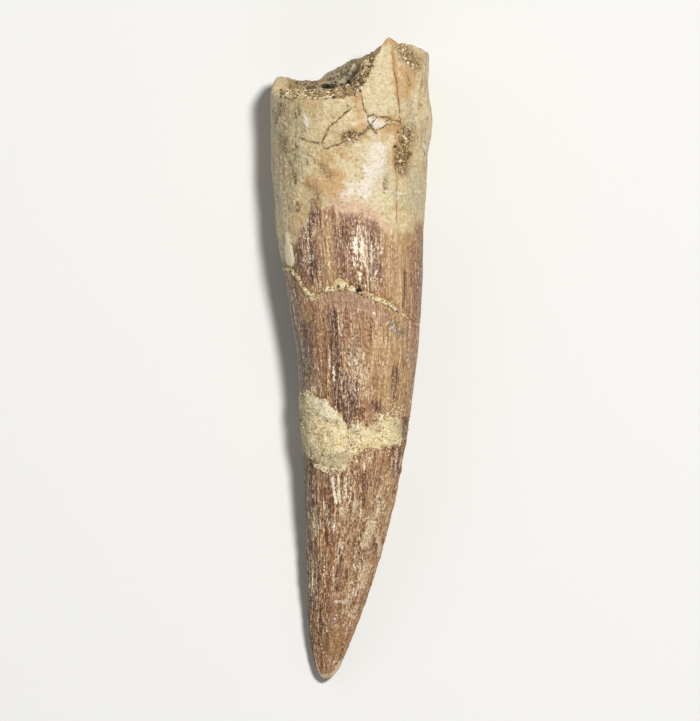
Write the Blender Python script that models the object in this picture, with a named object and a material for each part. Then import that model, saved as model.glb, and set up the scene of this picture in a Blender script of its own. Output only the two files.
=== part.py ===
"""A fossil marine reptile tooth, lying on its side.

The tooth lies along Y with its root end at +Y and its tip at -Y. +Z is up, towards the side that
is seen from above, and z = 0 is the surface it rests on. The lists below are in millimetres, as
seen from straight above; the meshes are made in metres.
"""

import bpy
import bmesh
import numpy as np

MM = 0.001

# Driving dimensions of the tooth and of its open pulp cavity
TIP_Y = -32.1
TIP_ROUNDING = 1.5
WALL = 1.7
WALL_AT_CAVITY_FLOOR = 2.0
CAVITY_FLOOR_Y = 19.3
CAVITY_CENTRE_Y = 18.6
CAVITY_BOWL_DROP = 0.4
CAVITY_BOWL_INSET = 4.6
GAP = 0.3

# Outline of the whole tooth, root end to tip: y, left edge, right edge
OUTLINE = np.array([
    (33.0, -6.9, 7.4),
    (30.0, -7.2, 7.9),
    (27.0, -7.8, 8.05),
    (25.0, -8.05, 8.05),
    (21.0, -7.85, 8.05),
    (16.0, -7.55, 7.6),
    (11.0, -7.0, 7.35),
    (9.3, -6.75, 7.3),
    (6.0, -6.15, 7.25),
    (1.0, -5.3, 6.9),
    (-4.0, -4.95, 6.3),
    (-9.0, -4.6, 5.5),
    (-14.0, -4.45, 4.6),
    (-19.0, -4.2, 3.35),
    (-24.0, -4.15, 1.75),
    (-28.0, -3.95, 0.25),
    (-30.5, -3.6, -0.75),
    (-32.1, -3.3, -1.45),
])

# Depth from front to back as a share of the width, and how high the underside is off the surface
DEPTH_SHARE = np.array([(33.0, 0.81), (5.0, 0.83), (-20.0, 0.88), (-32.1, 0.92)])
UNDERSIDE = np.array([
    (33.0, 0.6),
    (29.0, 0.1),
    (26.0, -0.42),
    (19.0, -0.42),
    (14.0, 0.15),
    (2.0, 0.75),
    (-7.0, 0.95),
    (-16.0, 0.6),
    (-24.0, -0.12),
    (-28.5, -0.14),
    (-30.5, 0.1),
    (-32.1, 0.75),
])

# The broken root rim, left to right: the near wall's edge, then the far wall's, which is longer
NEAR_RIM = [
    (-7.7, 26.7),
    (-7.0, 26.2),
    (-5.0, 26.1),
    (-2.55, 25.9),
    (0.95, 26.4),
    (1.7, 28.0),
    (2.55, 29.8),
    (3.3, 31.2),
    (3.85, 32.1),
    (4.9, 31.45),
    (6.3, 31.3),
    (7.3, 31.0),
    (7.7, 30.6),
]
FAR_RIM = [
    (-7.35, 28.3),
    (-6.3, 28.35),
    (-5.5, 27.95),
    (-4.6, 28.0),
    (-3.95, 27.9),
    (-2.75, 28.35),
    (-2.15, 28.9),
    (-1.0, 29.45),
    (0.2, 30.15),
    (1.15, 30.35),
    (3.35, 31.5),
    (5.5, 31.2),
    (7.2, 30.8),
]

# The zigzag break across the crown
NEAR_BREAK = [
    (-5.8, 9.0),
    (-5.15, 7.9),
    (-4.45, 7.1),
    (-3.85, 6.2),
    (-3.0, 6.5),
    (-2.0, 7.05),
    (-0.9, 7.65),
    (0.5, 6.95),
    (1.55, 6.5),
    (3.9, 5.65),
    (4.75, 4.9),
    (5.85, 4.2),
    (6.65, 3.5),
]
FAR_BREAK = [(-6.3, 9.3), (-4.0, 8.2), (-1.5, 9.0), (1.0, 7.4), (3.5, 5.6), (5.8, 4.4)]

# The collar of sandy matrix: its edge towards the root, and its edge towards the tip
NEAR_COLLAR_TOP = [
    (-4.7, -3.6),
    (-3.65, -3.1),
    (-1.55, -4.9),
    (-0.6, -5.9),
    (-0.2, -6.7),
    (0.4, -6.2),
    (1.35, -6.1),
    (3.95, -5.7),
    (5.25, -6.1),
    (5.8, -7.0),
]
FAR_COLLAR_TOP = [(-4.6, -4.2), (-2.5, -5.6), (0.0, -4.6), (2.5, -6.0), (5.0, -6.6)]
NEAR_COLLAR_FOOT = [
    (-4.55, -9.2),
    (-3.65, -9.6),
    (-3.05, -10.4),
    (-1.45, -11.1),
    (-0.1, -10.6),
    (0.5, -9.6),
    (1.8, -9.1),
    (3.95, -8.6),
    (5.3, -8.9),
]
FAR_COLLAR_FOOT = [(-4.3, -8.9), (-2.0, -10.1), (0.5, -9.2), (2.5, -9.9), (4.8, -9.1)]
COLLAR_GROOVE = 0.55
COLLAR_PROUD = 0.35
COLLAR_SLACK = 0.02
COLLAR_GRAIN = 0.08

# Relief of the outer surface; a spot is x, y, half width and half length
CROWN_EDGE_Y = 14.0
CROWN_EDGE_FADE = 2.5
RIDGE_HEIGHT = 0.09
TIP_SMOOTH_LENGTH = 4.0
BREAK_DEPTH = 0.22
BREAK_HALF_WIDTH = 0.45
LUMP_HEIGHT = 0.12
FLAKE_SPOT = (-6.1, 11.2, 1.3, 2.6)
FLAKE_HEIGHT = 0.45
WORN_SPOT = (5.5, 21.0, 1.5, 3.0)
WORN_DEPTH = 0.35

# The broken face of the rim: it rises inwards on the near wall where that is low
HIGH_RIM_Y = 28.5
RIM_RISE = 1.1
RIM_FALL = 0.5
RIM_ROUGHNESS = 0.2

# The crystalline lining
CRUST_SPACE = GAP + 0.05
CRUST_THINNEST = 0.4
CRUST_CRYSTAL = 0.6
CRUST_UNEVENNESS = 0.3
CRUST_BELOW_FAR_RIM = 0.5
CRUST_BELOW_NEAR_RIM = 1.6
CRUST_FLOOR_Y = CAVITY_FLOOR_Y + GAP + 0.1
CRUST_FLOOR_THICKNESS = 1.0

# Points around the tooth, and rows along each stretch of it
COLUMNS = 72
ROWS_TO_COLLAR = 14
ROWS_TO_BREAK = 6
ROWS_TO_RIM = 11
TIP_ROW_BUNCHING = 1.5

angles = np.radians(np.arange(COLUMNS) * 360.0 / COLUMNS)


def smooth_line(table, at, column=1, reach=1.6):
    """Reads a line through a table's points, rounded off over a short reach."""
    rows = table[::-1]
    offsets = np.linspace(-reach, reach, 9)
    samples = [np.interp(at + shift, rows[:, 0], rows[:, column]) for shift in offsets]
    return np.mean(samples, axis=0)


def section(y):
    """Centre and half sizes of the oval cross section at y."""
    left = smooth_line(OUTLINE, y)
    right = smooth_line(OUTLINE, y, column=2)
    from_tip = np.clip((y - TIP_Y) / TIP_ROUNDING, 0.0, 1.0)
    rounding = np.sqrt(1.0 - (1.0 - from_tip) ** 2)
    half_width = 0.5 * (right - left) * rounding
    full_depth = 0.5 * (right - left) * smooth_line(DEPTH_SHARE, y)
    centre_z = full_depth + smooth_line(UNDERSIDE, y)
    return 0.5 * (left + right), half_width, centre_z, full_depth * rounding


def ring(y, lift=0.0):
    """One ring of points around the tooth. Its lowest points are flattened where it rests."""
    centre_x, half_width, centre_z, half_depth = section(y)
    x = centre_x + (half_width + lift) * np.cos(angles)
    z = centre_z + (half_depth + lift) * np.sin(angles)
    return np.column_stack([x, np.broadcast_to(y, x.shape), np.maximum(z, 0.0)])


def around(near, far):
    """Turns points seen from above into a y for each column around the tooth."""
    turns, heights = [], []
    for points, side in ((near, 1.0), (far, -1.0)):
        for x, y in points:
            centre_x, half_width, _, _ = section(y)
            turn = np.arccos(np.clip((x - centre_x) / half_width, -1.0, 1.0))
            turns.append(side * turn)
            heights.append(y)
    return np.interp(angles, turns, heights, period=2.0 * np.pi)


def lumps(y):
    """Low, wide unevenness of the root, the same on every run."""
    wave = np.sin(3.0 * angles + 0.35 * y) * np.sin(0.55 * y + 1.0)
    return LUMP_HEIGHT * (wave + 0.6 * np.sin(7.0 * angles - 0.8 * y + 2.0))


def ridges(y):
    """Striae of the crown: ridges that run to the tip and fade out at the root."""
    on_crown = np.clip((CROWN_EDGE_Y - y) / CROWN_EDGE_FADE, 0.0, 1.0)
    off_tip = np.clip((y - TIP_Y) / TIP_SMOOTH_LENGTH, 0.0, 1.0)
    columns = np.arange(COLUMNS)
    up_and_down = np.where(columns % 2 == 0, 1.0, -1.0)
    strength = 1.0 + 0.5 * np.sin(1.7 * columns)
    return RIDGE_HEIGHT * on_crown * off_tip * up_and_down * strength


def on_spot(y, spot):
    """A soft-edged spot on the near side: 1 at its middle and 0 outside it."""
    x_middle, y_middle, x_half, y_half = spot
    centre_x, half_width, _, _ = section(y)
    x = centre_x + half_width * np.cos(angles)
    distance = ((x - x_middle) / x_half) ** 2 + ((y - y_middle) / y_half) ** 2
    return np.clip(1.0 - distance, 0.0, 1.0) * (np.sin(angles) > 0.0)


def surface_lift(y):
    """All the relief of the outer surface at y, in one sum."""
    on_root = np.clip((y - CROWN_EDGE_Y) / 3.0, 0.25, 1.0)
    spots = FLAKE_HEIGHT * on_spot(y, FLAKE_SPOT) - WORN_DEPTH * on_spot(y, WORN_SPOT)
    return lumps(y) * on_root + ridges(y) + spots


def tooth_rings():
    """Rings from the tip over the crown and root to the rim, and down into the cavity."""
    foot = around(NEAR_COLLAR_FOOT, FAR_COLLAR_FOOT)
    top = around(NEAR_COLLAR_TOP, FAR_COLLAR_TOP)
    seam = around(NEAR_BREAK, FAR_BREAK)
    rim = around(NEAR_RIM, FAR_RIM)
    rings = []

    def add(y, extra=0.0):
        rings.append(ring(y, surface_lift(y) + extra))

    for share in (np.arange(1, ROWS_TO_COLLAR + 1) / ROWS_TO_COLLAR) ** TIP_ROW_BUNCHING:
        add(TIP_Y + (foot - GAP - TIP_Y) * share)
    for share in (0.0, 0.5, 1.0):
        add(foot + (top - foot) * share, -COLLAR_GROOVE)
    add(top + GAP)
    below_seam = seam - BREAK_HALF_WIDTH
    for share in np.arange(1, ROWS_TO_BREAK + 1) / ROWS_TO_BREAK:
        add(top + GAP + (below_seam - top - GAP) * share)
    add(seam, -BREAK_DEPTH)
    above_seam = seam + BREAK_HALF_WIDTH
    for share in np.arange(0, ROWS_TO_RIM + 1) / ROWS_TO_RIM:
        add(above_seam + (rim - above_seam) * share)

    # The broken face, from the outer edge over its rough middle to the inner edge
    near_side = np.clip(np.sin(angles), 0.0, 1.0)
    far_side = np.clip(-np.sin(angles), 0.0, 1.0)
    low_part = np.clip((HIGH_RIM_Y - rim) / 2.0, -0.3, 1.0)
    inner_edge = rim + RIM_RISE * near_side * low_part - RIM_FALL * far_side
    random = np.random.default_rng(7)
    roughness = random.uniform(-RIM_ROUGHNESS, RIM_ROUGHNESS, COLUMNS)
    rings.append(ring(0.5 * (rim + inner_edge) + roughness, -0.5 * WALL))
    rings.append(ring(inner_edge, -WALL))
    for share in (0.3, 0.65, 1.0):
        y = inner_edge + (CAVITY_FLOOR_Y - inner_edge) * share
        rings.append(ring(y, -WALL - (WALL_AT_CAVITY_FLOOR - WALL) * share))
    rings.append(ring(np.full(COLUMNS, CAVITY_FLOOR_Y - CAVITY_BOWL_DROP), -CAVITY_BOWL_INSET))
    return rings, inner_edge


def crust_rings(inner_edge):
    """A cup that lines the cavity: up its smooth back, over its edge, down its crystals."""
    random = np.random.default_rng(21)
    far_side = np.sin(angles) < 0.0
    reach = inner_edge - np.where(far_side, CRUST_BELOW_FAR_RIM, CRUST_BELOW_NEAR_RIM)

    def back_inset(y):
        share = (inner_edge - y) / (inner_edge - CAVITY_FLOOR_Y)
        return WALL + (WALL_AT_CAVITY_FLOOR - WALL) * share + CRUST_SPACE

    rings = [ring(np.full(COLUMNS, CRUST_FLOOR_Y - CAVITY_BOWL_DROP), -CAVITY_BOWL_INSET)]
    for share in (1.0, 0.5, 0.0):
        y = reach + (CRUST_FLOOR_Y - reach) * share
        rings.append(ring(y, -back_inset(y)))
    rings.append(ring(reach + 0.1, -back_inset(reach) - 0.4 * CRUST_THINNEST))
    for share in (0.1, 0.28, 0.46, 0.64, 0.82, 1.0):
        y = reach + (CRUST_FLOOR_Y + CRUST_THINNEST - reach) * share
        y = y + random.uniform(-CRUST_UNEVENNESS, CRUST_UNEVENNESS, COLUMNS)
        crystals = CRUST_THINNEST + CRUST_CRYSTAL * random.uniform(0.0, 1.0, COLUMNS)
        rings.append(ring(y, -back_inset(y) - crystals))
    top_of_floor = CRUST_FLOOR_Y - CAVITY_BOWL_DROP + CRUST_FLOOR_THICKNESS
    rings.append(ring(np.full(COLUMNS, top_of_floor), -CAVITY_BOWL_INSET - GAP))
    return rings


def collar_rings():
    """A low band around the crown: its outer face, then back along its inner face."""
    foot = around(NEAR_COLLAR_FOOT, FAR_COLLAR_FOOT) + GAP
    top = around(NEAR_COLLAR_TOP, FAR_COLLAR_TOP) - GAP
    random = np.random.default_rng(5)
    rings = []
    for share, height in ((0.0, 0.05), (0.18, 1.0), (0.5, 1.15), (0.82, 1.0), (1.0, 0.05)):
        y = foot + (top - foot) * share
        grain = random.uniform(-COLLAR_GRAIN, COLLAR_GRAIN, COLUMNS)
        rings.append(ring(y, surface_lift(y) + COLLAR_PROUD * height + grain))
    for share in (1.0, 0.5, 0.0):
        y = foot + (top - foot) * share
        rings.append(ring(y, surface_lift(y) - COLLAR_GROOVE + GAP + COLLAR_SLACK))
    return rings


def plain_material(name, colour, roughness):
    """A matt Principled material in one linear colour."""
    made = bpy.data.materials.new(name)
    made.use_nodes = True
    shader = made.node_tree.nodes["Principled BSDF"]
    shader.inputs["Base Color"].default_value = (*colour, 1.0)
    shader.inputs["Roughness"].default_value = roughness
    shader.inputs["Metallic"].default_value = 0.0
    return made


def solid_from_rings(name, rings, material, ends=None):
    """Joins rings into one closed body. With no end points the last ring meets the first."""
    mesh = bpy.data.meshes.new(name)
    build = bmesh.new()
    loops = [[build.verts.new(point * MM) for point in points] for points in rings]
    pairs = list(zip(loops, loops[1:]))
    if ends is None:
        pairs.append((loops[-1], loops[0]))
    for lower, upper in pairs:
        for i in range(COLUMNS):
            j = (i + 1) % COLUMNS
            build.faces.new((lower[i], lower[j], upper[j], upper[i]))
    for loop, end in zip((loops[0], loops[-1]), ends or ()):
        point = build.verts.new(np.array(end) * MM)
        for i in range(COLUMNS):
            build.faces.new((loop[i], loop[(i + 1) % COLUMNS], point))
    bmesh.ops.recalc_face_normals(build, faces=build.faces)
    build.to_mesh(mesh)
    build.free()
    mesh.shade_smooth()
    mesh.set_sharp_from_angle(angle=np.radians(35.0))
    mesh.materials.append(material)
    solid = bpy.data.objects.new(name, mesh)
    bpy.context.scene.collection.objects.link(solid)
    return solid


def middle_of(points):
    """The centre of a ring."""
    return points.mean(axis=0)


def stand_on_centre(solids):
    """Slides every solid so that the middle of the whole, seen from above, is at x = y = 0."""
    corners = np.array([point.co for solid in solids for point in solid.data.vertices])
    middle = 0.5 * (corners.min(axis=0) + corners.max(axis=0))
    for solid in solids:
        solid.location = (-middle[0], -middle[1], 0.0)


for leftover in list(bpy.data.objects):
    bpy.data.objects.remove(leftover)

fossil = plain_material("fossil tooth", (0.36, 0.24, 0.15), 0.45)
sandstone = plain_material("sandy matrix", (0.66, 0.52, 0.30), 0.95)
sediment = plain_material("crystalline sediment", (0.13, 0.12, 0.09), 0.8)

outer_and_cavity, cavity_edge = tooth_rings()
tip_x, _, tip_z, _ = section(TIP_Y)
cavity_middle = middle_of(outer_and_cavity[-1])
cavity_middle[1] = CAVITY_CENTRE_Y
tooth_ends = ((tip_x, TIP_Y, tip_z), cavity_middle)
tooth = solid_from_rings("tooth", outer_and_cavity, fossil, tooth_ends)

lining = crust_rings(cavity_edge)
lining_ends = (middle_of(lining[0]), middle_of(lining[-1]))
crust = solid_from_rings("cavity_crust", lining, sediment, lining_ends)

collar = solid_from_rings("sand_collar", collar_rings(), sandstone)

stand_on_centre([tooth, crust, collar])
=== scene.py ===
# %% [markdown]
# # A fossil marine reptile tooth
#
# The real thing is one grown tooth with three things stuck to it: a collar of sandy rock, a bead of
# the same sand in an old break, and a dark crust in its open root. All of it is modelled from
# arrays of points, because a fossil's shape is relief on a simple form, and relief is easiest to
# write as sums of small functions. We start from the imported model, which gives every place.

import itertools
import math

import bpy
import numpy as np
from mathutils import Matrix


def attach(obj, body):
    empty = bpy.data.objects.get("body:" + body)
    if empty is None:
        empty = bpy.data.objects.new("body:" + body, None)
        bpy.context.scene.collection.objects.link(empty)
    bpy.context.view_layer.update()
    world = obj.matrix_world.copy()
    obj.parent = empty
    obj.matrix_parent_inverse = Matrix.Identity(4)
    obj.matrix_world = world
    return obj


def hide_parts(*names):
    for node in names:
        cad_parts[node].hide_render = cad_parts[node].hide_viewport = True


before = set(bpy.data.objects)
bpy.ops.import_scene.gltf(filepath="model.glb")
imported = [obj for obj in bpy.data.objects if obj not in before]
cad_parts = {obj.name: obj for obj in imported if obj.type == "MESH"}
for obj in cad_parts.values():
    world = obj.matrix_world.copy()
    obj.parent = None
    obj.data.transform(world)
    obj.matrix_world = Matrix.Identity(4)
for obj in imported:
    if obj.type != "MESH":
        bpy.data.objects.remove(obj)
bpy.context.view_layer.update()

# %% [markdown]
# Colours are picked as sRGB hex values, the way a colour picker shows them. Cycles wants linear
# light, so one function turns them. Sizes are written in millimetres, because a fossil is measured
# that way, and turned to metres once, when a mesh is made.

# %% Colour and size helpers
MM = 0.001


def linear(hex_colour):
    """Turns "#rrggbb" into a linear colour with full alpha."""
    values = [int(hex_colour[i:i + 2], 16) / 255.0 for i in (1, 3, 5)]
    return (*[v / 12.92 if v <= 0.04045 else ((v + 0.055) / 1.055) ** 2.4 for v in values], 1.0)


def soft_step(start, end, value):
    """0 at start, 1 at end and a smooth change between them."""
    share = np.clip((value - start) / (end - start), 0.0, 1.0)
    return share * share * (3.0 - 2.0 * share)


print("Cream root in linear light:", [round(v, 3) for v in linear("#d8c49c")[:3]])

# %% [markdown]
# Lumps, pits and grains all come from two kinds of noise. Soft noise gives rolling ups and downs.
# Cell noise gives the distance to the nearest of many scattered points, so it draws rounded grains
# and flat crystal faces. Both are hashed from whole numbers, so every run gives the same surface.


# %% Noise for relief
def hashed(cell, seed):
    """A fixed random number from 0 to 1 for each whole-number cell."""
    x, y, z = (cell[..., i].astype(np.int64).astype(np.uint32) for i in range(3))
    mixed = x * np.uint32(374761393) + y * np.uint32(668265263) + z * np.uint32(2246822519)
    mixed = mixed + np.uint32((seed * 97 + 13) * 3266489917 % 2 ** 32)
    mixed = (mixed ^ (mixed >> np.uint32(15))) * np.uint32(2246822519)
    mixed = (mixed ^ (mixed >> np.uint32(13))) * np.uint32(3266489917)
    return (mixed ^ (mixed >> np.uint32(16))).astype(float) / 4294967295.0


def soft_noise(at, size, seed, octaves=1):
    """Rolling noise from about -1 to 1. Each octave adds detail of half the size."""
    total, weight = 0.0, 0.0
    for octave in range(octaves):
        place = at / (size * 0.5 ** octave) + 17.3 * octave
        cell = np.floor(place)
        share = place - cell
        share = share * share * (3.0 - 2.0 * share)
        value = 0.0
        for corner in itertools.product((0, 1), repeat=3):
            weights = np.where(corner, share, 1.0 - share).prod(axis=-1)
            value = value + weights * hashed(cell + corner, seed + octave)
        total = total + 0.5 ** octave * (2.0 * value - 1.0)
        weight += 0.5 ** octave
    return total * 1.6 / weight


def cell_noise(at, size, seed):
    """Distance to the nearest scattered point, in cells, and that point's own random number."""
    place = at / size
    home = np.floor(place)
    nearest = np.full(home.shape[:-1], 9.0)
    number = np.zeros(home.shape[:-1])
    for step in itertools.product((-1, 0, 1), repeat=3):
        cell = home + step
        point = cell + np.stack([hashed(cell, seed + k) for k in (1, 2, 3)], axis=-1)
        distance = np.linalg.norm(place - point, axis=-1)
        closer = distance < nearest
        nearest = np.where(closer, distance, nearest)
        number = np.where(closer, hashed(cell, seed + 4), number)
    return nearest, number


print("Soft noise at three places:", soft_noise(np.eye(3) * 5.0, 1.0, 1).round(2))

# %% [markdown]
# The tooth's form is a stack of ovals. Its left and right edges, seen from above, follow a few
# points measured on the real outline, and its depth is a share of its width. A short average rounds
# the corners between the points. A curve object could be lofted too, but arrays let every later
# feature ask for the surface at any turn and height.

# %% The outline of the tooth in mm, root end to tip: y, left edge, right edge
TIP_Y = -32.1
TIP_ROUNDING = 1.5
WALL = 1.7
OUTLINE = np.array([
    (33.0, -6.9, 7.4),
    (30.0, -7.2, 7.9),
    (27.0, -7.8, 8.05),
    (25.0, -8.05, 8.05),
    (21.0, -7.85, 8.05),
    (16.0, -7.55, 7.6),
    (11.0, -7.0, 7.35),
    (9.3, -6.75, 7.3),
    (6.0, -6.15, 7.25),
    (1.0, -5.3, 6.9),
    (-4.0, -4.95, 6.3),
    (-9.0, -4.6, 5.5),
    (-14.0, -4.45, 4.6),
    (-19.0, -4.2, 3.35),
    (-24.0, -4.15, 1.75),
    (-28.0, -3.95, 0.25),
    (-30.5, -3.6, -0.75),
    (-32.1, -3.3, -1.45),
])
DEPTH_SHARE = np.array([(33.0, 0.81), (5.0, 0.83), (-20.0, 0.88), (-32.1, 0.92)])
UNDERSIDE = np.array([
    (33.0, 0.6),
    (29.0, 0.1),
    (26.0, -0.42),
    (19.0, -0.42),
    (14.0, 0.15),
    (2.0, 0.75),
    (-7.0, 0.95),
    (-16.0, 0.6),
    (-24.0, -0.12),
    (-28.5, -0.14),
    (-30.5, 0.1),
    (-32.1, 0.75),
])


def smooth_line(table, at, column=1, reach=1.6):
    """Reads a line through a table's points, rounded off over a short reach."""
    rows = table[::-1]
    offsets = np.linspace(-reach, reach, 9)
    return np.mean([np.interp(at + s, rows[:, 0], rows[:, column]) for s in offsets], axis=0)


def section(y):
    """Centre x, half width, centre z and half depth of the oval at y."""
    left, right = smooth_line(OUTLINE, y), smooth_line(OUTLINE, y, column=2)
    from_tip = np.clip((y - TIP_Y) / TIP_ROUNDING, 0.0, 1.0)
    rounding = np.sqrt(1.0 - (1.0 - from_tip) ** 2)
    full_depth = 0.5 * (right - left) * smooth_line(DEPTH_SHARE, y)
    centre_z = full_depth + smooth_line(UNDERSIDE, y)
    return 0.5 * (left + right), 0.5 * (right - left) * rounding, centre_z, full_depth * rounding


def skin(turn, y, lift):
    """Points on the tooth's surface, raised by lift along the oval's own outward direction."""
    centre_x, half_width, centre_z, half_depth = section(y)
    x = centre_x + (half_width + lift) * np.cos(turn)
    z = centre_z + (half_depth + lift) * np.sin(turn)
    return np.stack([x, np.broadcast_to(y, x.shape), np.maximum(z, 0.0)], axis=-1)


cad_points = np.array([v.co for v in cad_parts["tooth"].data.vertices]) / MM
cad_tip = cad_points[cad_points[:, 1].argmin()]
SHIFT = np.array([cad_tip[0] - section(TIP_Y)[0], cad_tip[1] - TIP_Y, 0.0])
print("The packed tooth lies", SHIFT.round(3), "mm from these tables")

# %% [markdown]
# The mesh is a grid wrapped round those ovals: columns run from root to tip, as the enamel's own
# ridges do, and rows run round. The side that is seen from above gets more columns, and the root
# gets more rows, because its cracks are fine. Two broken edges end the grid, the outer rim and the
# edge of the hollow, each given by points as seen from above, upper side first.

# %% Columns and the broken rim
COLUMNS = 400
UPPER_SIDE_DENSITY = 0.34

RIM = (
    [(-7.7, 26.7), (-7.0, 26.2), (-5.0, 26.1), (-2.55, 25.9), (0.95, 26.4), (1.7, 28.0),
     (2.55, 29.8), (3.3, 31.2), (3.85, 32.1), (4.9, 31.45), (6.3, 31.3), (7.3, 31.0), (7.7, 30.6)],
    [(-7.35, 28.3), (-6.3, 28.35), (-5.5, 27.95), (-4.6, 28.0), (-3.95, 27.9), (-2.75, 28.35),
     (-2.15, 28.9), (-1.0, 29.45), (0.2, 30.15), (1.15, 30.35), (3.35, 31.5), (5.5, 31.2),
     (7.2, 30.8)],
)
HOLLOW_EDGE = (
    [(-6.1, 26.9), (-4.9, 27.0), (-3.05, 26.8), (-1.9, 26.8), (-0.5, 27.15), (0.3, 27.5),
     (0.8, 28.3), (1.1, 29.1), (1.55, 29.9), (2.3, 30.6), (3.1, 31.2), (4.5, 31.0), (6.2, 30.5)],
    [(-6.1, 27.6), (-4.5, 27.3), (-2.7, 27.7), (-1.0, 28.8), (0.5, 29.6), (2.5, 30.6),
     (4.5, 30.8), (6.2, 30.5)],
)

fine_turns = np.linspace(0.0, 2.0 * np.pi, 4001)
turn_count = np.cumsum(1.0 + UPPER_SIDE_DENSITY * np.sin(fine_turns))
turn_count = (turn_count - turn_count[0]) / (turn_count[-1] - turn_count[0])
turns = np.interp(np.arange(COLUMNS) / COLUMNS, turn_count, fine_turns)


def around(line, at=turns, inset=0.0):
    """Turns a line's upper and under points, seen from above, into a y for each turn."""
    points = []
    for side_points, side in zip(line, (1.0, -1.0)):
        for x, y in side_points:
            centre_x, half_width, _, _ = section(y)
            share = np.clip((x - centre_x) / (half_width - inset), -1.0, 1.0)
            points.append((side * math.acos(share), y))
    places, heights = np.array(points).T
    return np.interp(at, places, heights, period=2.0 * np.pi)


def flow_places(turn, y, along=0.16):
    """Noise places that run with the enamel's ridges: a fixed circle, and y drawn out."""
    return np.stack([6.0 * np.cos(turn), 6.0 * np.sin(turn), y * along], axis=-1)


top_y = -TIP_Y - 0.03
rim_noise = soft_noise(flow_places(turns, 0.0 * turns), 0.7, 31, 3)
rim = np.minimum(around(RIM) + 0.10 * rim_noise, top_y)
hollow_edge = np.minimum(around(HOLLOW_EDGE, inset=WALL) - 0.15 * rim_noise, top_y)
print("Columns:", COLUMNS, "- rim from y =", rim.min().round(2), "to", rim.max().round(2))

# %% [markdown]
# The rows bunch at the blunt tip, run evenly along the crown, and are closer in the root, where
# they bend until the last one is the rim. From there the skin goes on over the broken face, with
# rough rows, and down the wall of the hollow, so that the tooth is one closed piece.

# %% The rows of the grid
ROOT_ROWS_FROM = 12.0
BEND_FROM = 18.0
CAVITY_FLOOR_Y = 19.3
BOWL_INSET = 4.6
BREAK_ROWS = 12
WALL_ROWS = 12

tip_rows = TIP_Y + TIP_ROUNDING * np.linspace(0.06, 1.0, 14) ** 2
crown_rows = np.linspace(TIP_Y + TIP_ROUNDING, ROOT_ROWS_FROM, 128)[1:]
root_rows = np.linspace(ROOT_ROWS_FROM, rim.mean(), 82)[1:]
row_heights = np.concatenate([tip_rows, crown_rows, root_rows])[:, None]
bend = np.clip((row_heights - BEND_FROM) / (rim.mean() - BEND_FROM), 0.0, 1.0)
outer_y = row_heights + bend * (rim - rim.mean())
OUTER = len(outer_y)

break_share = np.linspace(0.0, 1.0, BREAK_ROWS + 1)[1:, None]
break_y = rim + (hollow_edge - rim) * break_share
wall_share = np.linspace(0.0, 1.0, WALL_ROWS + 1)[1:, None]
wall_y = hollow_edge + (CAVITY_FLOOR_Y - hollow_edge) * wall_share
grid_y = np.vstack([outer_y, break_y, wall_y, 0.0 * rim + CAVITY_FLOOR_Y - 0.4])
grid_turn = np.broadcast_to(turns, grid_y.shape)
base_lift = np.zeros(grid_y.shape)
base_lift[OUTER:OUTER + BREAK_ROWS] = -WALL * break_share
base_lift[OUTER + BREAK_ROWS:-1] = -WALL - 0.3 * wall_share
base_lift[-1] = -BOWL_INSET
inside = np.zeros(grid_y.shape)
inside[OUTER:OUTER + BREAK_ROWS] = 0.5
inside[OUTER + BREAK_ROWS:] = 1.0

plan = skin(grid_turn, grid_y, base_lift)
plan_x, plan_y = plan[..., 0], plan[..., 1]
streaks = flow_places(grid_turn, grid_y)
seen = (np.sin(grid_turn) > 0.0) | (inside > 0.0)
under = np.where(seen, 0.0, 1.0)
print("Grid:", grid_y.shape[0], "rows of", grid_y.shape[1])

# %% [markdown]
# A preparator maps a fossil as seen from above, so that is how features are placed here. A line is
# a row of points with a half width. A crack needs a sharp edge on a mesh that is coarser than the
# crack, so its distance is kept with a sign, one on each side, and the value between two points of
# the mesh then crosses zero just where the crack runs. A soft patch is a broad, short line.

# %% Lines, strokes and where they lie
ROOT_CRACKS = [
    (0.05, (-4.75, 22.04), (-4.25, 21.75), (-3.25, 21.6), (-2.8, 21.64)),
    (0.05, (-2.8, 21.64), (-2.25, 22.6), (-1.95, 23.24), (-1.45, 23.6), (-0.85, 24.16),
     (0.1, 24.9)),
    (0.045, (-2.8, 21.6), (-2.5, 20.95), (-1.85, 21.2), (-0.35, 21.7), (0.4, 22.2)),
    (0.09, (1.2, 22.45), (1.7, 22.85), (2.15, 23.25)),
    (0.08, (2.15, 23.2), (2.6, 22.65)),
    (0.045, (1.25, 26.2), (1.45, 25.0), (1.9, 24.3), (1.85, 23.7), (2.15, 23.2)),
    (0.045, (1.9, 24.3), (2.55, 24.4), (2.95, 24.16), (3.8, 24.2), (4.55, 23.8), (5.05, 23.7)),
    (0.04, (2.2, 23.4), (2.75, 24.05)),
    (0.045, (2.75, 22.8), (3.45, 23.1), (3.8, 23.5), (5.0, 23.3)),
    (0.025, (4.5, 29.3), (4.75, 27.2), (4.85, 25.9), (5.05, 24.7), (5.25, 23.5)),
    (0.016, (4.7, 20.4), (4.72, 17.5), (4.7, 13.7)),
    (0.035, (7.2, 21.5), (7.5, 20.8), (7.7, 20.4)),
]
UNDER_CRACKS = [
    (0.05, (-3.2, 27.0), (-2.9, 24.8), (-3.6, 23.1), (-2.7, 21.0), (-3.1, 18.2)),
    (0.05, (-2.9, 24.8), (-0.6, 24.2), (1.2, 24.9), (3.4, 23.8), (5.3, 24.3)),
    (0.05, (1.2, 24.9), (1.5, 26.4), (1.2, 29.0)),
]
warp = soft_noise(plan, 1.1, 32, 3)
warp_across = soft_noise(plan, 1.1, 36, 3)
fine_warp = 0.05 * soft_noise(plan, 0.45, 40, 2)


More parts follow.
